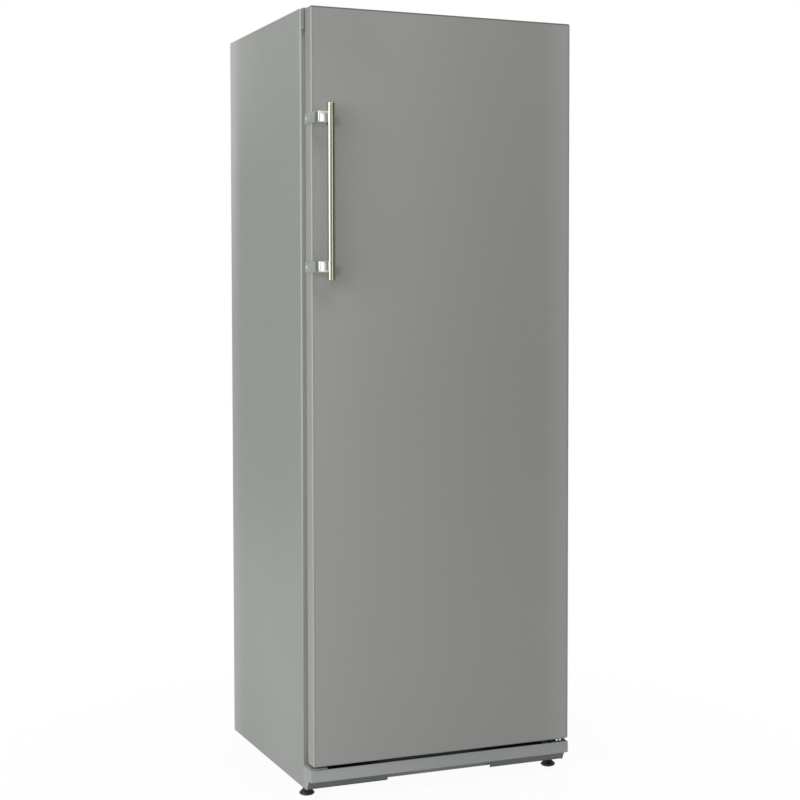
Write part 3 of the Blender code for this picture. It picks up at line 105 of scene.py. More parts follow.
class Graph:
    """A node tree whose nodes are all made in one way"""

    def __init__(self, owner):
        owner.use_nodes = True
        self.tree = owner.node_tree

    def feed(self, socket, value):
        if isinstance(value, Value):
            self.tree.links.new(value.socket, socket)
        else:
            socket.default_value = value

    def node(self, kind, settings, inputs, output=0):
        made = self.tree.nodes.new(kind)
        for name, value in settings.items():
            setattr(made, name, value)
        pairs = inputs.items() if isinstance(inputs, dict) else enumerate(inputs)
        for name, value in pairs:
            self.feed(made.inputs[name], value)
        return Value(self, made.outputs[output])

    def place(self):
        """The point on the object, in metres"""
        return self.node("ShaderNodeTexCoord", {}, {}, "Object")

    def axis(self, letter):
        return self.node("ShaderNodeSeparateXYZ", {}, [self.place()], "XYZ".index(letter))

    def noise(self, scale, stretch=(1, 1, 1), detail=2.0):
        """A soft cloud between 0 and 1. A stretch under 1 draws it out along that axis"""
        point = self.node("ShaderNodeMapping", {}, {"Vector": self.place(), "Scale": stretch})
        return self.node("ShaderNodeTexNoise", {}, {"Vector": point, "Scale": scale, "Detail": detail})

    def crystals(self, scale):
        """Flat random patches, as on hot-dip zinc"""
        inputs = {"Vector": self.place(), "Scale": scale}
        patches = self.node("ShaderNodeTexVoronoi", {"feature": "F1"}, inputs, "Color")
        return self.node("ShaderNodeSeparateColor", {}, [patches])

    def mix(self, first, second, mask):
        settings = {"data_type": "RGBA"}
        return self.node("ShaderNodeMix", settings, {0: mask, 6: first, 7: second}, 2)

    def shown(self):
        """1 for what the camera sees straight, in a mirror or through glass, else 0"""
        rays = ("Camera", "Glossy", "Transmission")
        seen = [self.node("ShaderNodeLightPath", {}, {}, f"Is {ray} Ray") for ray in rays]
        return seen[0].larger(seen[1]).larger(seen[2])


class Finish(Graph):
    """A material and the nodes that vary it"""

    def __init__(self, name, colour, roughness, metallic=0.0, **constants):
        self.material = bpy.data.materials.new(name)
        super().__init__(self.material)
        self.shader = self.tree.nodes["Principled BSDF"]
        self.colour = (*colour, 1)
        self.roughness = roughness
        self.set("Base Color", self.colour)
        self.set("Roughness", roughness)
        self.set("Metallic", metallic)
        for socket, value in constants.items():
            self.set(socket.replace("_", " "), value)
        self.material.diffuse_color = self.colour

    def set(self, name, value):
        self.feed(self.shader.inputs[name], value)

    def tint(self, mask, colour):
        """Turns the colour towards another one where the mask is"""
        self.colour = self.mix(self.colour, (*colour, 1), mask)
        self.set("Base Color", self.colour)

    def rough(self, change):
        self.roughness = self.roughness + change
        self.set("Roughness", self.roughness)

    def bump(self, height, depth):
        """Raises the surface by a height from 0 to 1 times a depth in metres"""
        inputs = {"Height": height, "Strength": 1.0, "Distance": depth}
        self.set("Normal", self.node("ShaderNodeBump", {}, inputs))


def shade(*colour):
    """A colour as a screen shows it, 0 to 255, as the light that it stands for"""
    parts = [c / 255 for c in colour]
    return tuple(c / 12.92 if c <= 0.04045 else ((c + 0.055) / 1.055) ** 2.4 for c in parts)


def cabinet_paint():
    """Light grey paint, with a painted highlight on the front folds, painted light on the front flanges,
    near the top and on the rear edges, and painted shade in the foot of the gap
    """
    made = Finish("cabinet_paint", shade(147, 150, 146), 0.40, Specular_IOR_Level=0.4)
    side, depth, height = abs(made.axis("X")), made.axis("Y"), made.axis("Z")
    half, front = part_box("right_side_panel")[1].x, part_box("left_side_panel")[0].y
    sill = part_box("plinth")[1].z
    lower_half, upper_half, top_fifth = (0.2, 0.9), (0.9, 1.5), (1.3, 1.62)
    drift = made.noise(3.0, (1, 1, 0.6))
    made.tint(drift.rise(0.35, 0.75) * 0.3, shade(141, 145, 141))
    # A painted highlight along each front fold, fainter near the floor
    fold = depth.past(front, 4.5, 1.5) * side.past(half, -4.5, -1.5)
    made.tint(fold * (0.3 + 0.6 * height.rise(*lower_half)), shade(190, 192, 188))
    outside = side.past(half, -3, -1)
    # Painted light on the outer sides near the top, strongest towards the back
    upper = height.rise(*top_fifth) * (0.35 + 0.65 * depth.rise(0.0, 0.28)) * outside
    made.tint(upper * 0.8, shade(172, 175, 170))
    # Painted light on the front flanges, which lie in shade in the gap beside the door
    painted_flange_light = depth.past(front, 2.5, 1.0) * side.past(half, -20, -15) * side.past(half, -2.5, -4.5)
    made.tint(painted_flange_light * 0.5, shade(180, 182, 178))
    # Painted light along the rear edges of the outer sides, stronger higher up
    rear = depth.rise(0.20, 0.30) * (0.3 + 0.7 * height.rise(*upper_half)) * outside
    made.tint(rear, shade(194, 196, 192))
    # Painted shade: a near-black band on the front rail around the plinth's top, where it lies in shade
    # behind the gap under the door
    gap = height.past(sill, 6.5, -0.5) * height.past(sill, -24.5, -18.5) * side.past(half, -38, -45)
    made.tint(gap, shade(24, 25, 25))
    made.rough(drift * 0.10 - 0.05)
    made.bump(made.noise(900, detail=1.0), 0.04 * MM)
    return made


def painted_light_and_shade_round_bar(made, across, height):
    """The steel round the bar, with painted light and shade: painted light behind the bar that offsets the
    shade it casts there, a faint painted shadow to its right, a deeper one at each strap's end and a thin
    one under each strap"""
    skin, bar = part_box("door_skin")[0].x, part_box("handle_bar")
    low, high, grip = bar[0].z, bar[1].z, (bar[0].x + bar[1].x) / 2
    # Painted light behind the bar, offsetting the shade that the bar casts on the steel there
    painted_light_behind_bar = across.past(skin, 4, 20) * across.past(skin, 48, 36)
    painted_light_behind_bar = painted_light_behind_bar * height.past(low, -30, 20) * height.past(high, 20, -20)
    made.tint(painted_light_behind_bar * 0.9, shade(168, 168, 165))
    # A faint painted shadow of the bar, to its right
    painted_bar_shadow = across.past(grip, -6, 20) * across.past(grip, 80, 30)
    painted_bar_shadow = painted_bar_shadow * height.past(low, -30, 10) * height.past(high, 15, -15)
    made.tint(painted_bar_shadow * 0.8, shade(134, 134, 132))
    for name in STRAPS:
        foot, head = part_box(name)
        # A deeper painted shadow at each strap's end, a little below its middle
        tip = abs(height - ((foot.z + head.z) / 2 - 5 * MM)).rise(15 * MM, 4 * MM)
        tip = tip * across.past(grip, 42, 16) * across.past(grip, -4, 18)
        made.tint(tip * 0.55, shade(84, 84, 82))
        # A thin painted shadow under each strap
        under = abs(height - (foot.z - 3 * MM)).rise(8 * MM, 2 * MM)
        under = under * across.past(skin, 3, 8) * across.past(grip, 8, 0)
        made.tint(under * 0.25, shade(112, 112, 110))


def door_steel():
    """Satin steel with a fine level grain, with painted light and shade: a painted highlight along its
    left fold, painted olive reflections at its top and hinge folds, and painted gradients of light and
    shade across its face"""
    made = Finish("door_steel", shade(150, 150, 148), 0.50, 0.06, Specular_IOR_Level=0.35)
    low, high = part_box("door_skin")
    across, depth, height = made.axis("X"), made.axis("Y"), made.axis("Z")
    grain = made.noise(900, (0.012, 1, 1), 3.0)
    streaks = made.noise(110, (0.06, 1, 1), 2.0)
    drift = made.noise(2.2, (1, 1, 0.5))
    made.tint(grain * 0.18, shade(131, 131, 128))
    made.tint(streaks.rise(0.4, 0.7) * 0.08, shade(160, 160, 158))
    made.tint(drift.rise(0.3, 0.7) * 0.2, shade(144, 144, 142))
    # Painted shade, deepening towards the right and easing off near the right edge
    right = across.rise(low.x, high.x * 0.7) * across.rise(high.x, high.x * 0.75)
    made.tint(right * 0.8, shade(134, 134, 132))
    # Painted light, lighter towards the bottom
    made.tint(height.rise(0.9, 0.2) * 0.2, shade(161, 161, 159))
    # Painted light towards the left edge
    made.tint(across.rise(low.x * 0.5, low.x) * 0.2, shade(164, 164, 162))
    painted_light_and_shade_round_bar(made, across, height)
    # Painted light on the door's left side face
    made.tint(across.past(low.x, 1.6, 0.8) * 0.9, shade(160, 162, 158))
    # A painted highlight along the left fold, stronger near the top
    line = across.past(low.x, 2.6, 1.8) * depth.past(low.y, 3.5, 1.2)
    made.tint(line * (0.55 + 0.45 * height.rise(1.45, 1.6)), shade(190, 192, 188))
    # A thin painted shade just inside that highlight
    made.tint(across.past(low.x, 2.4, 3.2) * across.past(low.x, 6.0, 4.6) * 0.7, shade(136, 136, 134))
    # A painted dark reflection along the right, hinge-side fold
    made.tint(across.past(high.x, -7.5, -5.5) * 0.25, shade(120, 122, 111))
    # Painted shade at the upper left of the face
    corner = across.rise(low.x * 0.2, low.x * 0.8) * height.rise(1.40, 1.60)
    made.tint(corner * 0.35, shade(128, 128, 126))
    # A painted dark reflection along the front of the top fold
    made.tint(height.past(high.z, -4.4, -3.0) * depth.past(low.y, 5, 3), shade(96, 96, 82))
    made.rough(grain * 0.12 - 0.06)
    made.bump(grain, 0.012 * MM)
    return made


def zinc_plate():
    made = Finish("zinc_plate", shade(186, 191, 192), 0.32, 0.85)
    patches = made.crystals(95)
    cloud = made.noise(160, detail=3.0)
    made.tint(patches * 0.45, shade(158, 164, 165))
    made.tint(cloud.rise(0.45, 0.75) * 0.3, shade(150, 154, 153))
    made.rough(patches * 0.16 + cloud * 0.12 - 0.12)
    made.bump(cloud, 0.02 * MM)
    return made


def chrome():
    """Bright towards the bar, with a painted dark reflection on the slant, and a satin, mottled grey on
    the door's side
    """
    made = Finish("chrome_strap", shade(206, 210, 208), 0.16, 1.0)
    across, skin = made.axis("X"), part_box("door_skin")[0].x
    haze = made.noise(220, (1, 1, 0.3), 3.0)
    mottle = made.noise(420, detail=3.0)
    side = across.past(skin, -0.5, -1.3)
    slant = across.past(skin, -1.8, -1.2) * across.past(skin, 3.0, 1.7)
    made.tint(haze.rise(0.45, 0.8) * 0.4, shade(176, 181, 175))
    made.tint(side, shade(190, 198, 190))
    made.tint(side * mottle.rise(0.4, 0.7) * 0.5, shade(160, 168, 160))
    # A painted dark reflection on the slant
    made.tint(slant * 0.75, shade(150, 155, 150))
    made.rough(haze * 0.10 + side * 0.22)
    return made


def bar_steel():
    made = Finish("bar_steel", shade(176, 176, 158), 0.10, 1.0)
    draw = made.noise(900, (1, 1, 0.004))
    made.tint(draw * 0.2, shade(150, 150, 132))
    made.rough(draw * 0.06)
    return made


def plinth_plastic():
    """Grey moulding, with a painted highlight on its cut edges, painted light towards the left, painted
    shade on its undercut skirt, its bottom lip and the fascia's ends, and nearly black painted shade
    inside
    """
    made = Finish("plinth_plastic", shade(148, 152, 149), 0.45, Specular_IOR_Level=0.4)
    low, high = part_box("plinth")
    across, depth, height = made.axis("X"), made.axis("Y"), made.axis("Z")
    side, cloud = abs(across), made.noise(9.0)
    front = side.past(high.x, -0.4, -0.8)
    # Painted shade on the undercut skirt, which faces down
    skirt = height.past(high.z, -25, -26) * front
    # Painted shade along the bottom lip
    lip = height.past(low.z, 6, 3) * front
    # A painted highlight on the cut edges and the top edge
    edge = (1 - front) * depth.past(low.y, 2.5, 0.5) + height.past(high.z, -2, -0.8)
    edge = edge * height.past(high.z, 5, 3)
    # Painted shade on the fascia's ends
    painted_fascia_end_shade = height.rise(1.5, 1.6) * side.past(high.x, -20, -10)
    # Nearly black painted shade inside the slot
    painted_slot_shade = depth.past(low.y, 1.9, 2.3) * height.past(high.z, -5.5, -2)
    painted_slot_shade = painted_slot_shade * side.past(high.x, -38.5, -39.5) * height.past(high.z, 10, 5)
    made.tint(cloud.rise(0.4, 0.8) * 0.3, shade(141, 146, 142))
    # Painted light towards the left
    made.tint(across.rise(0.1, -0.28) * 0.6, shade(168, 172, 169))
    made.tint(skirt, shade(96, 100, 98))
    made.tint(lip * 0.7, shade(78, 82, 80))
    made.tint(edge * 0.6, shade(176, 180, 175))
    made.tint(painted_fascia_end_shade, shade(128, 131, 129))
    made.tint(painted_slot_shade, shade(34, 35, 34))
    made.rough(cloud * 0.12 - 0.06)
    made.bump(made.noise(1400, detail=1.0), 0.04 * MM)
    return made


def liner_plastic():
    made = Finish("liner_white", shade(228, 230, 229), 0.30, Coat_Weight=0.2)
    cloud = made.noise(14.0)
    made.tint(cloud.rise(0.45, 0.85) * 0.4, shade(220, 223, 224))
    made.rough(cloud * 0.12 - 0.04)
    made.bump(made.noise(420, detail=1.0), 0.04 * MM)
    return made


def gasket_vinyl():
    made = Finish("gasket_vinyl", shade(172, 175, 172), 0.6)
    made.tint(made.noise(30).rise(0.4, 0.8) * 0.4, shade(158, 162, 158))
    made.bump(made.noise(1200, detail=1.0), 0.04 * MM)
    return made


def black_plastic():
    made = Finish("black_plastic", shade(26, 26, 27), 0.42)
    dust = made.noise(60, detail=4.0).rise(0.55, 0.8)
    made.tint(dust * 0.5, shade(44, 44, 43))
    made.rough(dust * 0.2)
    made.bump(made.noise(1500, detail=1.0), 0.05 * MM)
    return made


def black_enamel():
    made = Finish("black_enamel", shade(25, 25, 26), 0.30, Coat_Weight=0.15)
    dust = made.noise(26, detail=4.0).rise(0.45, 0.8)
    made.tint(dust * 0.4, shade(58, 57, 55))
    made.rough(dust * 0.25)
    made.bump(made.noise(600, detail=1.0), 0.08 * MM)
    return made


def copper():
    made = Finish("copper_tube", shade(190, 122, 90), 0.26, 1.0)
    age = made.noise(45, detail=4.0).rise(0.4, 0.75)
    made.tint(age * 0.7, shade(122, 76, 56))
    made.rough(age * 0.25)
    return made


def foam():
    made = Finish("foam", shade(214, 196, 140), 0.9)
    made.tint(made.noise(70, detail=4.0), shade(190, 168, 108))
    made.bump(made.noise(500), 0.4 * MM)
    return made


def lens(name, colour, dark):
    made = Finish(name, colour, 0.12, Coat_Weight=0.5)
    made.tint(made.noise(900) * 0.3, dark)
    return made


FINISHES = {
    "cabinet_paint": cabinet_paint(),
    "door_steel": door_steel(),
    "zinc_plate": zinc_plate(),
    "chrome_strap": chrome(),
    "brushed_bar": bar_steel(),
    "plinth_plastic": plinth_plastic(),
    "liner_white": liner_plastic(),
    "gasket_rubber": gasket_vinyl(),
    "black_plastic": black_plastic(),
    "foam": foam(),
    "copper_tube": copper(),
    "black_enamel": black_enamel(),
    "green_lens": lens("green_lens", shade(70, 190, 90), shade(30, 120, 50)),
    "yellow_lens": lens("yellow_lens", shade(230, 180, 50), shade(170, 120, 20)),
    "red_lens": lens("red_lens", shade(200, 50, 40), shade(130, 20, 16)),
}

for part in frame["record"]["subparts"]:
    node = frame["nodes"][part["node"]]
    node.data.materials.clear()
    node.data.materials.append(FINISHES[part["material_slot"]].material)


def made_of(name, shape, finish):
    """The object of a bmesh in one finish"""
    mesh = bpy.data.meshes.new(name)
    shape.to_mesh(mesh)
    shape.free()
    mesh.materials.append(finish.material)
    made = bpy.data.objects.new(name, mesh)
    SCENE.collection.objects.link(made)
    return made


def piece(name, shape, finish, body="cabinet", stands_for=(), crease=40):
    """A piece of the freezer, smooth but for edges sharper than the crease in degrees"""
    made = made_of(name, shape, FINISHES[finish])
    made.data.shade_smooth()
    made.data.set_sharp_from_angle(angle=math.radians(crease))
    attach(made, body)
    if stands_for:
        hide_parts(*stands_for)
    return made


def pour(shape, part):
    """Adds a closed body to a piece, faces outwards"""
    bmesh.ops.remove_doubles(part, verts=part.verts[:], dist=0.001 * MM)
    bmesh.ops.recalc_face_normals(part, faces=part.faces[:])
    store = bpy.data.meshes.new("part")
    part.to_mesh(store)
    part.free()
    shape.from_mesh(store)
    bpy.data.meshes.remove(store)


def round_edges(part, edges, radius, segments):
    bmesh.ops.bevel(
        part, geom=edges, offset=radius, offset_type="OFFSET", segments=segments, profile=0.5,
        affect="EDGES", material=-1,
    )


def block(shape, low, high, radius=0.0, segments=2):
    """A block between two corners, its edges rounded"""
    low, high = Vector(low), Vector(high)
    part = bmesh.new()
    bmesh.ops.create_cube(part, size=1)
    bmesh.ops.scale(part, vec=high - low, verts=part.verts)
    bmesh.ops.translate(part, vec=(low + high) / 2, verts=part.verts)
    if radius:
        round_edges(part, part.edges[:], radius, segments)
    pour(shape, part)


def towards(start, end):
    """A place at start whose Z looks at end"""
    start, end = Vector(start), Vector(end)
    return Matrix.Translation(start) @ (end - start).to_track_quat("Z", "Y").to_matrix().to_4x4()


def turned(shape, profile, place, steps=32):
    """A closed body whose profile of radius and height is turned about the place's Z"""
    part = bmesh.new()
    verts = [part.verts.new((radius, 0, height)) for radius, height in profile]
    edges = [part.edges.new(pair) for pair in zip(verts, verts[1:])]
    bmesh.ops.spin(
        part, geom=verts + edges, cent=(0, 0, 0), axis=(0, 0, 1), dvec=(0, 0, 0), angle=2 * math.pi,
        steps=steps, use_merge=True,
    )
    bmesh.ops.transform(part, matrix=place, verts=part.verts)
    pour(shape, part)


def arc(centre, radius, start, end, steps=4):
    """Points of a profile on an arc between two angles in degrees, counted from its radius axis"""
    angles = [math.radians(start + (end - start) * step / steps) for step in range(steps + 1)]
    return [(centre[0] + radius * math.cos(a), centre[1] + radius * math.sin(a)) for a in angles]


def rod(shape, start, end, radius, tip, steps=24):
    """A round rod between two points, its ends' edges rounded"""
    length = (Vector(end) - Vector(start)).length
    far = arc((radius - tip, length - tip), tip, 90, 0)
    near = arc((radius - tip, tip), tip, 0, -90)
    turned(shape, [(0, length), *far, *near, (0, 0)], towards(start, end), steps)


def screw(shape, place, toward, radius, height):
    """A domed screw head with a round socket, seated at a place and looking along toward"""
    place = Vector(place)
    socket = radius * 0.38
    profile = [
        (0, height * 0.35), (socket, height * 0.35), (socket, height), (radius * 0.6, height * 0.96),
        (radius * 0.88, height * 0.62), (radius, height * 0.12), (radius, 0), (0, 0),
    ]
    turned(shape, profile, towards(place, place + Vector(toward)), 24)


def bent(points, radius, steps=6):
    """A route through its points with each corner turned on an arc"""
    points = [Vector(point) for point in points]
    route = [points[0]]
    for before, corner, after in zip(points, points[1:], points[2:]):
        into, out = (before - corner).normalized(), (after - corner).normalized()
        half_angle = into.angle(out) / 2
        centre = corner + (into + out).normalized() * (radius / math.sin(half_angle))
        reach = radius / math.tan(half_angle)
        first, last = corner + into * reach - centre, corner + out * reach - centre
        route += [centre + first.slerp(last, step / steps) * radius for step in range(steps + 1)]
    return route + [points[-1]]


def drawn_verts(part, edges):
    """Extrudes edges where they are and gives the new vertices"""
    drawn = bmesh.ops.extrude_edge_only(part, edges=edges)["geom"]
    return [item for item in drawn if isinstance(item, bmesh.types.BMVert)]


def edges_between(verts):
    """The edges whose two ends are both among these vertices, each once and in a fixed order"""
    ends = set(verts)
    found = [edge for vert in verts for edge in vert.link_edges if ends.issuperset(edge.verts)]
    return list(dict.fromkeys(found))


def tube(shape, route, radius, sides=12):
    """A round tube: a ring drawn along a route, turned at each point to the way it goes there"""
    route = [Vector(point) for point in route]
    ways = [(there - here).normalized() for here, there in zip(route, route[1:])]
    facing = [ways[0], *[(a + b).normalized() for a, b in zip(ways, ways[1:])], ways[-1]]
    part = bmesh.new()
    start = towards(route[0], route[0] + facing[0])
    bmesh.ops.create_circle(part, cap_ends=True, segments=sides, radius=radius, matrix=start)
    edges = part.edges[:]
    for index in range(1, len(route)):
        ring = drawn_verts(part, edges)
        turn = facing[index - 1].rotation_difference(facing[index]).to_matrix().to_4x4()
        move = Matrix.Translation(route[index]) @ turn @ Matrix.Translation(-route[index - 1])
        bmesh.ops.transform(part, matrix=move, verts=ring)
        edges = edges_between(ring)
    bmesh.ops.contextual_create(part, geom=edges)
    pour(shape, part)


def upright_rectangle(part, half, low, high, y):
    """The four edges of an upright rectangle, where a frame or a tray starts"""
    corners = ((-half, low), (half, low), (half, high), (-half, high))
    verts = [part.verts.new((x, y, z)) for x, z in corners]
    return [part.edges.new(pair) for pair in zip(verts, verts[1:] + verts[:1])]


def drawn_rectangle(part, edges, half, low, high, y):
    """Draws a rectangle's edges out to another rectangle and gives the new edges"""
    moved = drawn_verts(part, edges)
    middle = (low + high) / 2
    for vert in moved:
        vert.co = (math.copysign(half, vert.co.x), y, low if vert.co.z < middle else high)
    return edges_between(moved)


def frame_sweep(shape, section, half, low, high):
    """An upright rectangular frame from a closed section of inset and depth"""
    part = bmesh.new()
    inset, y = section[0]
    edges = upright_rectangle(part, half - inset, low + inset, high - inset, y)
    for inset, y in section[1:] + section[:1]:
        edges = drawn_rectangle(part, edges, half - inset, low + inset, high - inset, y)
    pour(shape, part)


def sheet(name, shape, finish, thickness, body="cabinet", stands_for=(), edge=0.0, side=0.0):
    """A piece of folded sheet: a surface that gets its wall, and a slight round on its cut edges"""
    made = piece(name, shape, finish, body, stands_for)
    wall = made.modifiers.new("wall", "SOLIDIFY")
    wall.thickness = thickness
    wall.offset = side
    wall.use_even_offset = True
    if edge:
        rounding = made.modifiers.new("edge", "BEVEL")
        rounding.width = edge
        rounding.segments = 2
        rounding.limit_method = "ANGLE"
        rounding.angle_limit = math.radians(60)
    return made


def coil_route(start, half, bend, passes, near, far, place, steps=10):
    """A flat coil's points. It runs to and fro between near and far and steps across by two bends a
    turn, and place makes a point of how far across and along it is"""
    points = [place(half, start)]
    for turn in range(passes - 1):
        middle = half - 2 * bend * turn - bend
        sign, centre = (-1, near + bend) if turn % 2 == 0 else (1, far - bend)
        for step in range(steps + 1):
            angle = math.pi * step / steps
            points.append(place(middle + bend * math.cos(angle), centre + sign * bend * math.sin(angle)))
    return points


def handle_bar():
    """The round bar, its lower end a little short of the CAD's"""
    low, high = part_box("handle_bar")
    x, y, radius = (low.x + high.x) / 2, (low.y + high.y) / 2, (high.x - low.x) / 2
    short, tip = 4 * MM, 1.2 * MM
    shape = bmesh.new()
    rod(shape, (x, y, low.z + short), (x, y, high.z), radius, tip, steps=64)
    piece("bar_handle", shape, "brushed_bar", "door", ["handle_bar"])


def handle_straps():
    """Each strap lies on the door's side, slants inwards past its front and turns square to the bar. The
    lower one sits a little above the CAD's"""
    bar_low, bar_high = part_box("handle_bar")
    bar_x, bar_y = (bar_low.x + bar_high.x) / 2, (bar_low.y + bar_high.y) / 2
    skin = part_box("door_skin")[0]
    thickness, gap, inner_bend, rounding = 2.0 * MM, 0.3 * MM, 1.8 * MM, 0.5 * MM
    slant, across, forward = 13 * MM, 5.0 * MM, 4 * MM
    cap_radius, cap_height, cap_place = 3.0 * MM, 1.1 * MM, 24 * MM
    side, leg = skin.x - gap, bar_y + thickness - forward
    for name, lift in zip(STRAPS, (0, 2.8 * MM)):
        low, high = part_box(name)
        bottom, wide, middle = low.z + lift, high.z - low.z, (low.z + high.z) / 2 + lift
        corners = [(side, high.y), (side, leg + slant), (side + across, leg), (bar_x, leg)]
        route = bent([(x, y, bottom) for x, y in corners], inner_bend, 8)
        shape = bmesh.new()
        verts = [shape.verts.new(point) for point in route]
        edges = [shape.edges.new(pair) for pair in zip(verts, verts[1:])]
        bmesh.ops.translate(shape, vec=(0, 0, wide), verts=drawn_verts(shape, edges))
        sheet(f"{name}_plate", shape, "chrome_strap", thickness, "door", [name], edge=rounding, side=-1)
        shape = bmesh.new()
        screw(shape, (side - thickness, skin.y + cap_place, middle), (-1, 0, 0), cap_radius, cap_height)
        # The screw heads are white as a painted highlight, standing in for the glint on a domed head
        piece(f"{name}_cap", shape, "liner_white", "door")


def door_gasket():
    """A bellows between two flat lips, hollow-looking where it folds"""
    low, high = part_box("door_gasket")
    deep, wide = high.y - low.y, 20 * MM
    half_section = [
        (0.20, 0.00), (0.20, 0.07), (0.07, 0.17), (0.03, 0.28), (0.07, 0.40), (0.17, 0.48), (0.17, 0.53),
        (0.05, 0.60), (0.00, 0.70), (0.00, 0.86), (0.03, 0.95), (0.10, 1.00),
    ]
    outer = [(inset * wide, low.y + share * deep) for inset, share in half_section]
    inner = [(wide - inset, y) for inset, y in reversed(outer)]
    shape = bmesh.new()
    frame_sweep(shape, outer + inner, high.x, low.z, high.z)
    piece("door_seal", shape, "gasket_rubber", "door", ["door_gasket"])


def feet():
    """Flared, saucer-like feet on threaded stems. Their discs stand a little outwards, and the left one a
    little behind and the right one a little before the CAD's, as in the photograph"""
    stem, stem_edge, outward, slim = 5 * MM, 0.6 * MM, 1.6 * MM, 0.965
    flare = [
        (8.2, 23.7), (8.4, 16.0), (9.2, 14.4), (11.0, 12.2), (13.8, 9.8), (16.2, 7.6), (16.8, 6.0),
        (16.6, 4.4), (15.0, 2.8), (12.4, 1.5), (9.0, 0.5), (6.0, 0.0), (0.0, 0.0),
    ]
    for side, sign, backward in (("left", -1, 5 * MM), ("right", 1, -4 * MM)):
        node = f"{side}_front_foot"
        low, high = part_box(node)
        middle = (low + high) / 2
        profile = [(0, high.z), (stem - stem_edge, high.z), (stem, high.z - stem_edge)]
        profile += [(stem, flare[0][1] * MM)]
        profile += [(radius * slim * MM, height * MM) for radius, height in flare]
        place = Matrix.Translation((middle.x + sign * outward, middle.y + backward, 0))
        shape = bmesh.new()
        turned(shape, profile, place, 48)
        piece(f"{side}_foot_dome", shape, "black_plastic", f"{side}_foot", [node], crease=50)


def bottom_hinge():
    """A dark plate on the plinth with the door's pin, and two bright bolts near its front"""
    low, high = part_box("bottom_hinge_bracket")
    thickness, tongue, step, upright, edge = 3 * MM, 1.2 * MM, 9 * MM, 18 * MM, 0.5 * MM
    pin, collar, bolt, below_door = 4 * MM, 6 * MM, 3.6 * MM, 2.1 * MM
    pin_place = (high.x - 11.5 * MM, low.y + 12 * MM)
    bolt_y, bolt_from_right = low.y + 4 * MM, (22.9 * MM, 15 * MM)
    base, top = low.z + thickness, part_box("door_skin")[0].z - below_door
    shape = bmesh.new()
    block(shape, low, (high.x, high.y, low.z + tongue), 0.3 * MM)
    block(shape, (low.x, low.y + step, low.z), (high.x, high.y, base), edge)
    block(shape, (low.x, high.y - thickness, low.z), (high.x, high.y, low.z + upright), edge)
    piece("hinge_plate", shape, "black_enamel", stands_for=["bottom_hinge_bracket"])
    shape = bmesh.new()
    rod(shape, (*pin_place, base), (*pin_place, high.z), pin, 0.6 * MM)
    rod(shape, (*pin_place, base), (*pin_place, top), collar, 0.4 * MM)
    piece("hinge_pin", shape, "chrome_strap")
    shape = bmesh.new()
    for inwards in bolt_from_right:
        x = high.x - inwards
        rod(shape, (x, bolt_y, low.z + tongue), (x, bolt_y, top), bolt, 0.9 * MM)
    piece("hinge_bolts", shape, "chrome_strap")


def evaporator():
    """The shelves' tubes and, on them, their grids: wires on two rods, held by four clips"""
    radius, rod_radius, wire_radius, passes, wires = 3.8 * MM, 2.0 * MM, 1.3 * MM, 8, 30
    inset, sink, drop_bend, grid_drop = 4 * MM, 3.46 * MM, 12 * MM, 3.3 * MM
    clip_length, clip_wall, clip_edge, clip_shares = 36 * MM, 2 * MM, 0.6 * MM, (0.12, 0.88)
    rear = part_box("evaporator_shelf_2")[1].y
    grid_front, grid_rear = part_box("shelf_grid_2")[0].y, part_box("shelf_grid_2")[1].y
    grid_deep = grid_rear - grid_front
    for number in range(1, 6):
        node = f"evaporator_shelf_{number}"
        low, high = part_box(node)
        half, level = high.x - inset, high.z - sink
        bend = half / (passes - 1)
        side = -1 if number % 2 else 1

        def place(across, along):
            return side * across, along, level

        start = high.y if number == 5 else rear
        route = coil_route(start, half, bend, passes, low.y + inset, rear - drop_bend, place)
        if number > 1:
            drop = (-side * half, rear - inset)
            route += bent([route[-1], (*drop, level), (*drop, low.z)], drop_bend)[1:]
        else:
            route.append((-side * half, high.y, level))
        shape = bmesh.new()
        tube(shape, route, radius, 14)
        piece(f"shelf_tube_{number}", shape, "zinc_plate", stands_for=[node], crease=50)

        node = f"shelf_grid_{number}"
        low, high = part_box(node)
        z = high.z - grid_drop
        shape = bmesh.new()
        for edge in (-half, half):
            rod(shape, (edge, grid_front, z), (edge, grid_rear, z), rod_radius, 0.5 * MM, 12)
        for index in range(wires):
            y = grid_front + grid_deep * (index + 0.5) / wires
            tube(shape, [(-half, y, z), (half, y, z)], wire_radius, 8)
        for edge in (-1, 1):
            plate = sorted((edge * (half + 1 * MM), edge * high.x))
            leg = sorted((edge * (high.x - clip_wall), edge * high.x))
            for share in clip_shares:
                y = grid_front + grid_deep * share - clip_length / 2
                far = y + clip_length
                block(shape, (plate[0], y, high.z - clip_wall), (plate[1], far, high.z), clip_edge)
                block(shape, (leg[0], y, low.z), (leg[1], far, high.z), clip_edge)
        piece(f"shelf_wires_{number}", shape, "zinc_plate", stands_for=[node])


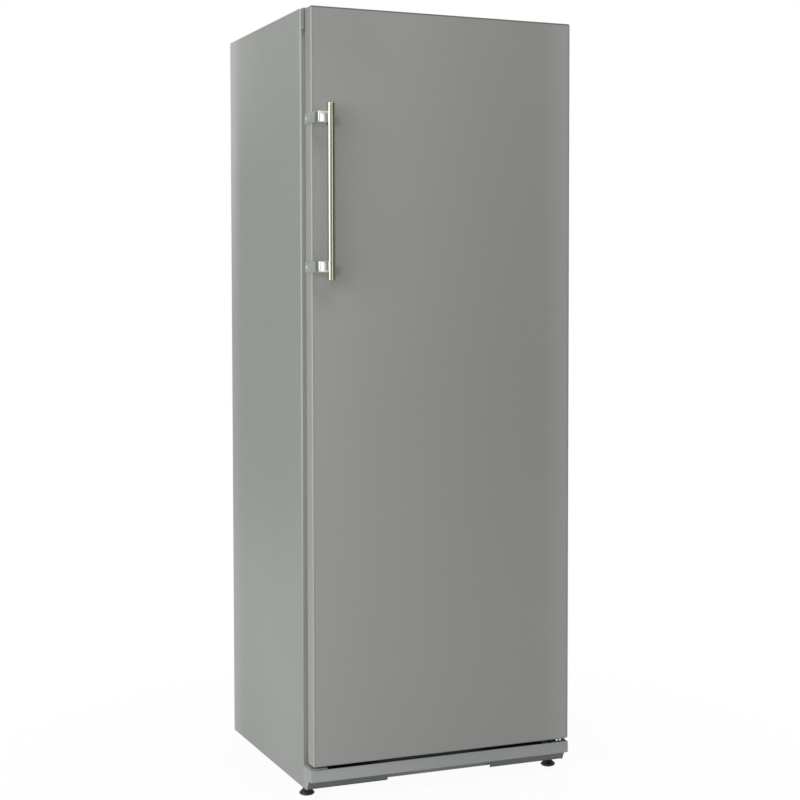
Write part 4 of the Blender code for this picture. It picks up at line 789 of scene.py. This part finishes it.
def condenser():
    """A coil of black tube with fine wires on both of its sides, and its brackets' screws"""
    low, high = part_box("condenser_coil")
    radius, wire_radius, rod_radius, line_bend = 3.5 * MM, 0.8 * MM, 2.0 * MM, 18 * MM
    passes, wires, bottom = 12, 48, 350 * MM
    y, top = high.y - radius, high.z - radius
    bend = (top - bottom) / (passes - 1) / 2
    half, middle = high.x - radius - bend, (top + bottom) / 2

    def place(across, along):
        return -along, y, across + middle

    route = coil_route(half, (top - bottom) / 2, bend, passes, -half, half, place)
    foot_x = -half - line_bend
    route += bent([route[-1], (foot_x, y, bottom), (foot_x, y, low.z)], line_bend)[1:]
    shape = bmesh.new()
    tube(shape, route, radius, 14)
    piece("condenser_tube", shape, "black_enamel", stands_for=["condenser_coil"], crease=50)

    low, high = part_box("condenser_wires")
    lowest, highest, rear = low.z + rod_radius, high.z - rod_radius, high.y - rod_radius
    shape = bmesh.new()
    for z in (lowest, highest):
        rod(shape, (-half, rear, z), (half, rear, z), rod_radius, 0.5 * MM, 12)
    for face in (y + radius + wire_radius, y - radius - wire_radius):
        for index in range(wires):
            x = -half + 2 * half * (index + 0.5) / wires
            tube(shape, [(x, face, lowest), (x, face, highest)], wire_radius, 6)
    piece("condenser_wire_mat", shape, "black_enamel", stands_for=["condenser_wires"])

    from_edge, sunk, head, head_height = 8 * MM, 1 * MM, 4.5 * MM, 2.2 * MM
    for name in ("condenser_bracket_upper", "condenser_bracket_lower"):
        low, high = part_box(name)
        shape = bmesh.new()
        for x in (-0.9 * half, 0, 0.9 * half):
            for z in (low.z + from_edge, high.z - from_edge):
                screw(shape, (x, low.y + sunk, z), (0, 1, 0), head, head_height)
        piece(f"{name}_screws", shape, "zinc_plate")


def dome(radius, height, power, steps=14):
    """A rounded profile from the top of the axis out to the radius, fuller with a higher power"""
    angles = [math.pi / 2 * (1 - step / steps) for step in range(steps + 1)]
    return [(radius * math.cos(a) ** (2 / power), height * math.sin(a) ** (2 / power)) for a in angles]


def compressor():
    """A welded black shell on its foot plate, with the start relay's seat, its charging stub, and the
    grommets and bolts that hold it"""
    low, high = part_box("compressor")
    middle, box_low = (low + high) / 2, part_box("terminal_box")[0]
    lip, tall, seam, oval = 4 * MM, 185 * MM, 78 * MM, 1.15
    plate_wall, plate_deep, plate_edge = 3 * MM, 130 * MM, 1.2 * MM
    radius, bottom = (high.y - low.y) / 2 - lip, high.z - tall
    half_x, half_y = (high.x - low.x) / 2, plate_deep / 2
    upper = [(r, h + seam) for r, h in dome(radius, tall - seam, 2.5)]
    lower = [(r, seam - h) for r, h in reversed(dome(radius, seam, 3.0))]
    bead = arc((radius, seam), lip, 70, -70, 6)
    shape = bmesh.new()
    place = Matrix.Translation((middle.x, middle.y, bottom)) @ Matrix.Diagonal((oval, 1, 1, 1))
    turned(shape, upper[:-1] + bead + lower[1:], place, 64)
    near = (middle.x - half_x, middle.y - half_y, bottom - plate_wall)
    block(shape, near, (middle.x + half_x, middle.y + half_y, bottom), plate_edge, 3)
    seat_half, seat_low, seat_high, seat_edge = 20 * MM, box_low.z + 5 * MM, box_low.z + 57 * MM, 3 * MM
    near = (middle.x, middle.y - seat_half, seat_low)
    block(shape, near, (box_low.x, middle.y + seat_half, seat_high), seat_edge, 3)
    foot = Vector((middle.x, middle.y, bottom))
    stub_start, stub_end = [foot + Vector(way) * MM for way in ((-50, 30, 130), (-62, 60, 140))]
    rod(shape, stub_start, stub_end, 3.5 * MM, 0.8 * MM, 20)
    piece("compressor_shell", shape, "black_enamel", stands_for=["compressor"])

    corner, head, head_height = 15 * MM, 6 * MM, 4 * MM
    # The profiles of the grommet and of the collar on it are in millimetres
    deck, washer = 14, 3
    ribs = [(8.2, deck), (8.2, 11), (10, 10), (10, 7), (8.2, 6), (8.2, 4), (10, 3), (10, 0)]
    grommet = [(0, deck), *ribs, (0, 0)]
    collar = [(0, washer), (8, washer), (9, 2), (9, 0), (0, 0)]
    mounts, bolts = bmesh.new(), bmesh.new()
    for x in (-1, 1):
        for y in (-1, 1):
            spot = (middle.x + x * (half_x - corner), middle.y + y * (half_y - corner))
            for profile, seat in ((grommet, low.z), (collar, bottom)):
                points = [(r * MM, h * MM) for r, h in profile]
                turned(mounts, points, Matrix.Translation((*spot, seat)), 32)
            screw(bolts, (*spot, bottom + washer * MM), (0, 0, 1), head, head_height)
    piece("compressor_grommets", mounts, "black_plastic")
    piece("compressor_bolts", bolts, "zinc_plate")


def terminal_box():
    """The relay's box with its lid and two clips, and the gland where a cable would go in"""
    low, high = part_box("terminal_box")
    lid_deep, lap, clip_in, clip_half = 9 * MM, 6 * MM, 14 * MM, 4 * MM
    lid, one, two = high.x - lid_deep, Vector((0, MM, MM)), Vector((0, 2 * MM, 2 * MM))
    body_far = Vector((lid - 0.6 * MM, high.y, high.z)) - one
    neck_near = Vector((lid - lap, low.y, low.z)) + two
    neck_far = Vector((lid + 2 * MM, high.y, high.z)) - two
    shape = bmesh.new()
    block(shape, low + one, body_far, 5 * MM, 4)
    block(shape, neck_near, neck_far, 3 * MM, 3)
    block(shape, (lid, low.y, low.z), high, 3.5 * MM, 4)
    for z in (low.z + clip_in, high.z - clip_in):
        near = (low.x + 8 * MM, low.y + 0.2 * MM, z - clip_half)
        block(shape, near, (lid + 4 * MM, low.y + 3 * MM, z + clip_half), 0.8 * MM)
    piece("compressor_box", shape, "black_plastic", stands_for=["terminal_box"])

    low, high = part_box("cable_gland")
    middle, radius, length = (low + high) / 2, (high.x - low.x) / 2, high.y - low.y
    place = towards((middle.x, low.y, middle.z), (middle.x, high.y, middle.z))
    bore, neck, nut_deep, slim, tip = 3.5 * MM, 6 * MM, 6 * MM, 0.6 * MM, 3 * MM
    nut = [(bore, nut_deep), (radius, nut_deep), (radius, 0.8 * MM), (radius - 0.8 * MM, 0), (bore, 0)]
    cap = [
        (bore, length), *arc((neck, length - tip), tip, 90, 0, 5), (radius - slim, 8 * MM),
        (radius - slim, 5 * MM), (bore, 5 * MM),
    ]
    shape = bmesh.new()
    turned(shape, nut + nut[:1], place, 6)
    turned(shape, cap + cap[:1], place, 40)
    piece("compressor_gland", shape, "black_plastic", stands_for=["cable_gland"])


def copper_lines():
    """The hot gas line up to the condenser, the suction pipe, the drier and its capillary tube"""
    radius, bend, segments = 3.5 * MM, 18 * MM, 10
    low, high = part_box("discharge_line")
    coil_end = -(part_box("condenser_coil")[1].x - radius - 50 * MM)
    start, rise = high.x - radius, low.x + radius
    out, lower, upper = high.y - radius, low.z + radius, high.z - radius
    corners = [
        (start, low.y, lower), (start, out, lower), (rise, out, lower), (rise, out, upper),
        (coil_end, out, upper),
    ]
    shape = bmesh.new()
    tube(shape, bent(corners, bend, segments), radius, 16)
    joint, joint_wall = 12 * MM, 0.7 * MM
    rod(shape, (coil_end - joint, out, upper), corners[-1], radius + joint_wall, 0.5 * MM)
    piece("hot_gas_line", shape, "copper_tube", stands_for=["discharge_line"], crease=50)

    low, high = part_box("suction_line")
    x, out, lower, ceiling = (low.x + high.x) / 2, high.y - radius, low.z + radius, high.z
    corners = [(x, low.y, lower), (x, out, lower), (x, out, ceiling)]
    shape = bmesh.new()
    tube(shape, bent(corners, bend, segments), radius, 16)
    piece("suction_pipe", shape, "copper_tube", stands_for=["suction_line"], crease=50)

    low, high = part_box("filter_drier")
    middle, body, length = (low + high) / 2, (high.x - low.x) / 2, high.z - low.z
    crimp = [
        (radius, 0.00), (radius, 0.05), (radius * 1.3, 0.08), (body * 0.85, 0.13), (body, 0.18),
        (body, 0.24), (body - 0.6 * MM, 0.255), (body, 0.27),
    ]
    half = [(r, share * length) for r, share in crimp]
    profile = [(0, 0), *half, *[(r, length - h) for r, h in reversed(half)], (0, length)]
    shape = bmesh.new()
    turned(shape, profile, Matrix.Translation((middle.x, middle.y, low.z)), 40)
    piece("drier_body", shape, "copper_tube", stands_for=["filter_drier"], crease=30)

    fine, fine_bend, dip, seat = 1.2 * MM, 11 * MM, 22 * MM, 1 * MM
    x, y, turn = middle.x, middle.y, low.z - dip
    corners = [(x, y, low.z + seat), (x, y, turn), (x, out, turn), (x, out, ceiling)]
    shape = bmesh.new()
    tube(shape, bent(corners, fine_bend, segments), fine, 10)
    piece("capillary_tube", shape, "copper_tube", crease=50)


DIGITS = [
    [[(0, 0), (1, 0), (1, 1.6), (0, 1.6), (0, 0)]],
    [[(0.2, 1.25), (0.6, 1.6), (0.6, 0)]],
    [[(0, 1.6), (1, 1.6), (1, 0.8), (0, 0.8), (0, 0), (1, 0)]],
    [[(0, 1.6), (1, 1.6), (1, 0), (0, 0)], [(0.2, 0.8), (1, 0.8)]],
    [[(0, 1.6), (0, 0.6), (1, 0.6)], [(0.8, 1.2), (0.8, 0)]],
    [[(1, 1.6), (0, 1.6), (0, 0.9), (1, 0.9), (1, 0), (0, 0)]],
    [[(1, 1.6), (0, 1.6), (0, 0), (1, 0), (1, 0.8), (0, 0.8)]],
    [[(0, 1.6), (1, 1.6), (0.4, 0)]],
]
LAMPS = (("lamp_power", "green_lens"), ("lamp_fast_freeze", "yellow_lens"), ("lamp_alarm", "red_lens"))


def dial_marks(centre, front):
    """A tick and a number for each step of the dial, 0 at the top and 7 three quarters of a turn on"""
    stroke, proud, size = 0.22 * MM, 0.05 * MM, 1.9 * MM
    digit_ring, tick_ring, tick = 18 * MM, 13 * MM, 2 * MM
    first, sweep = math.radians(90), math.radians(270)
    hub = Vector((centre.x, front + stroke - proud, centre.z))
    shape = bmesh.new()
    for number, strokes in enumerate(DIGITS):
        angle = first - sweep * number / (len(DIGITS) - 1)
        way = Vector((math.cos(angle), 0, math.sin(angle)))
        tube(shape, [hub + way * tick_ring, hub + way * (tick_ring + tick)], stroke, 6)
        corner = hub + way * digit_ring - Vector((0.5, 0, 0.8)) * size
        for points in strokes:
            tube(shape, [corner + Vector((u, 0, v)) * size for u, v in points], stroke, 6)
    piece("dial_marks", shape, "black_plastic")


def dial_knob():
    """The thermostat's fluted knob with its skirt and shaft, and a white pointer on its face"""
    low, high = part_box("thermostat_knob")
    centre, radius = (low + high) / 2, (high.x - low.x) / 2
    flutes, steps, groove_depth, flute_start, flute_end = 24, 144, 0.35 * MM, 0.25, 5.0
    levels = [(0.84, 0.0), (0.93, 0.25), (0.975, 0.8), (0.975, 5.0), (1.0, 5.2), (1.0, 6.0)]
    part, rings = bmesh.new(), []
    for share, depth in levels:
        made = bmesh.ops.create_circle(part, segments=steps, radius=radius * share)["verts"]
        for vert in made:
            turn = math.atan2(vert.co.y, vert.co.x) * flutes
            wave = 0.5 + 0.5 * math.cos(turn) if flute_start <= depth <= flute_end else 0
            vert.co *= 1 - groove_depth * wave / radius
            vert.co.z = depth * MM
        rings.append(edges_between(made))
    for near, far in zip(rings, rings[1:]):
        bmesh.ops.bridge_loops(part, edges=near + far)
    bmesh.ops.contextual_create(part, geom=rings[0])
    bmesh.ops.contextual_create(part, geom=rings[-1])
    place = towards((centre.x, low.y, centre.z), (centre.x, high.y, centre.z))
    bmesh.ops.transform(part, matrix=place, verts=part.verts)
    shape = bmesh.new()
    pour(shape, part)
    shaft_start, shaft_radius = low.y + 5 * MM, 3 * MM
    rod(shape, (centre.x, shaft_start, centre.z), (centre.x, high.y, centre.z), shaft_radius, 0.4 * MM)
    piece("dial_knob", shape, "black_plastic", "knob", ["thermostat_knob"], crease=35)

    half, proud, sunk, hub, reach = 0.7 * MM, 0.12 * MM, 0.6 * MM, 1 * MM, radius * 0.78
    near = (centre.x - half, low.y - proud, centre.z + hub)
    shape = bmesh.new()
    block(shape, near, (centre.x + half, low.y + sunk, centre.z + reach), 0.1 * MM)
    piece("dial_pointer", shape, "liner_white", "knob")


def lamp(name, finish, front):
    """A domed lens in a thin ring on the fascia"""
    low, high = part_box(name)
    middle, radius, proud, rear = (low + high) / 2, (high.x - low.x) / 2, front - low.y, front - high.y
    place = towards((middle.x, front, middle.z), (middle.x, low.y, middle.z))
    shape = bmesh.new()
    turned(shape, dome(radius, proud, 2.0, 6) + [(radius, rear), (0, rear)], place, 32)
    piece(f"{name}_lens", shape, finish, stands_for=[name], crease=50)
    inner, crown, outer = radius + 0.2 * MM, radius + 0.9 * MM, radius + 1.6 * MM
    bead, seat = 0.7 * MM, 0.1 * MM
    ring = [(inner, seat), *arc((crown, 0), bead, 170, 0, 8), (outer, -seat), (inner, -seat)]
    shape = bmesh.new()
    turned(shape, ring + ring[:1], place, 32)
    piece(f"{name}_bezel", shape, "black_plastic", crease=30)


def controls():
    """The fascia's dial and knob, its button and its three lamps"""
    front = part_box("control_fascia")[0].y
    low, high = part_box("thermostat_knob")
    dial_marks((low + high) / 2, front)
    dial_knob()

    shape = bmesh.new()
    block(shape, *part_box("fast_freeze_button"), 1.4 * MM, 5)
    piece("button_cap", shape, "black_plastic", "fast_freeze", ["fast_freeze_button"])
    for name, finish in LAMPS:
        lamp(name, finish, front)


def door_lining():
    """The door's inner face: a tray with a raised ridge round it, softly rounded as a formed sheet is"""
    low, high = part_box("door_liner")
    opening_half, opening_low, opening_high = 240 * MM, 140 * MM, 1560 * MM
    clear, slope, ridge, recess, wall, bend = 8 * MM, 12 * MM, 30 * MM, 12 * MM, 2 * MM, 5 * MM
    seat, crest = low.y + wall, high.y
    half, bottom, top = opening_half - clear, opening_low + clear, opening_high - clear
    part = bmesh.new()
    edges = upright_rectangle(part, high.x, low.z, high.z, seat)
    levels = ((-slope / 2, seat), (0, crest), (ridge, crest), (ridge + slope, crest - recess))
    for inset, y in levels:
        edges = drawn_rectangle(part, edges, half - inset, bottom + inset, top - inset, y)
    bmesh.ops.contextual_create(part, geom=edges)
    bmesh.ops.recalc_face_normals(part, faces=part.faces[:])
    middle_face = max(part.faces, key=lambda face: face.calc_area())
    if middle_face.normal.y < 0:
        bmesh.ops.reverse_faces(part, faces=part.faces[:])
    round_edges(part, [edge for edge in part.edges if not edge.is_boundary], bend, 6)
    sheet("door_tray", part, "liner_white", wall, "door", ["door_liner"], side=-1)


def panel_screws():
    """Screws round the back panel"""
    low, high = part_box("back_panel")
    inset, rows, head, head_height = 9 * MM, 6, 4 * MM, 2 * MM
    left, right, bottom, top = low.x + inset, high.x - inset, low.z + inset, high.z - inset
    levels = [bottom + (top - bottom) * row / (rows - 1) for row in range(rows)]
    spots = [(x, z) for z in levels for x in (left, right)]
    spots += [(low.x / 3, top), (high.x / 3, top)]
    shape = bmesh.new()
    for x, z in spots:
        screw(shape, (x, high.y, z), (0, 1, 0), head, head_height)
    piece("back_panel_screws", shape, "zinc_plate")


def studio():
    """White all round for the camera and for reflections, and a plainer glow on the object itself"""
    world = bpy.data.worlds.new("studio")
    SCENE.world = world
    graph = Graph(world)
    glow = 0.45
    back = graph.tree.nodes["Background"]
    graph.feed(back.inputs["Color"], (1, 1, 1, 1))
    graph.feed(back.inputs["Strength"], glow + (1 - glow) * graph.shown())


# The lamps and the cards: name, place, aim, width, height, and then power in watts or how light a grey
SOFTBOXES = (
    ("key", (-3.9, -1.75, 1.7), (0, 0, 0.9), 1.4, 2.8, 56),
    ("strip", (0.97, -4.0, 1.3), (-0.28, -0.3, 1.2), 0.55, 2.6, 7),
    ("top", (-0.4, -2.2, 4.0), (0, 0, 0.8), 2.0, 1.6, 46),
    ("rear", (0.8, 3.8, 2.2), (0, 0, 0.8), 2.4, 2.4, 50),
)
CARDS = (
    ("card_rear_left", (-1.9, 3.4, 1.2), (-0.3, 0, 1.2), 2.6, 3.4, 0.70),
    ("card_left", (-4.2, 1.2, 1.2), (-0.3, 0, 1.2), 3.2, 3.4, 0.55),
    ("card_camera", (-1.5, -5.4, 1.4), (-0.3, 0, 1.2), 1.5, 3.6, 0.06),
    ("card_right", (3.6, -2.2, 1.2), (0.3, 0, 1.2), 3.6, 3.6, 0.14),
    ("card_front_right", (2.05, -4.0, 1.3), (-0.28, -0.3, 1.2), 1.25, 3.4, 0.22),
    ("card_right_rear", (3.6, 1.8, 1.2), (0.3, 0, 1.2), 3.6, 3.4, 0.10),
    ("card_above", (0.2, 0.8, 3.6), (0, 0, 1.2), 3.0, 2.4, 0.06),
)


def softbox(name, place, aim, width, height, power):
    """A soft rectangular lamp that the camera doesn't see"""
    light = bpy.data.lights.new(name, "AREA")
    light.shape = "RECTANGLE"
    light.size = width
    light.size_y = height
    light.energy = power
    source = bpy.data.objects.new(name, light)
    source.visible_camera = False
    SCENE.collection.objects.link(source)
    place, aim = Vector(place), Vector(aim)
    facing = (aim - place).to_track_quat("-Z", "Y").to_matrix().to_4x4()
    source.matrix_world = Matrix.Translation(place) @ facing


def card(name, place, aim, width, height, tone):
    """A grey card that only reflections see, which gives metal its dark bands"""
    shape = bmesh.new()
    bmesh.ops.create_grid(shape, x_segments=1, y_segments=1, size=0.5)
    bmesh.ops.scale(shape, vec=(width, height, 1), verts=shape.verts)
    bmesh.ops.transform(shape, matrix=towards(place, aim), verts=shape.verts)
    made = made_of(name, shape, Finish(name, (tone, tone, tone), 0.9))
    made.visible_camera = False
    made.visible_diffuse = False
    made.visible_shadow = False


def floor():
    """A pale floor that keeps the object's shadow and runs out to white"""
    shape = bmesh.new()
    bmesh.ops.create_circle(shape, cap_ends=True, segments=64, radius=30)
    made = Finish("floor", (0.88, 0.88, 0.88), 0.9)
    away = made.node("ShaderNodeVectorMath", {"operation": "LENGTH"}, [made.place()], "Value")
    white = made.node("ShaderNodeEmission", {}, {"Color": (1, 1, 1, 1), "Strength": 1.0})
    mask = made.shown() * (0.95 + 0.05 * away.rise(0.35, 1.2))
    lit = Value(made, made.shader.outputs[0])
    mixed = made.node("ShaderNodeMixShader", {}, [mask, lit, white])
    made.feed(made.tree.nodes["Material Output"].inputs["Surface"], mixed)
    ground = made_of("floor", shape, made)


def camera():
    """The photograph's view: eye height 1.05 m, looking a little down and turned to the right"""
    image, focal = 800, 1674
    centre_x, centre_y = 462, 377
    eye_place = (-1.3948, -3.544, 1.0546)
    yaw, pitch = math.radians(23.73), math.radians(-2.71)
    lens_data = bpy.data.cameras.new("camera")
    lens_data.sensor_width = 36
    lens_data.lens = lens_data.sensor_width * focal / image
    lens_data.shift_x = 0.5 - centre_x / image
    lens_data.shift_y = centre_y / image - 0.5
    lens_data.clip_end = 60
    eye = bpy.data.objects.new("camera", lens_data)
    SCENE.collection.objects.link(eye)
    look = Vector((math.sin(yaw) * math.cos(pitch), math.cos(yaw) * math.cos(pitch), math.sin(pitch)))
    eye.matrix_world = Matrix.Translation(eye_place) @ look.to_track_quat("-Z", "Y").to_matrix().to_4x4()
    SCENE.camera = eye


handle_bar()
handle_straps()
door_gasket()
feet()
bottom_hinge()
evaporator()
condenser()
compressor()
terminal_box()
copper_lines()
controls()
door_lining()
panel_screws()
studio()
floor()
for soft_light in SOFTBOXES:
    softbox(*soft_light)
for grey_card in CARDS:
    card(*grey_card)
camera()
SCENE.view_settings.view_transform = "Standard"
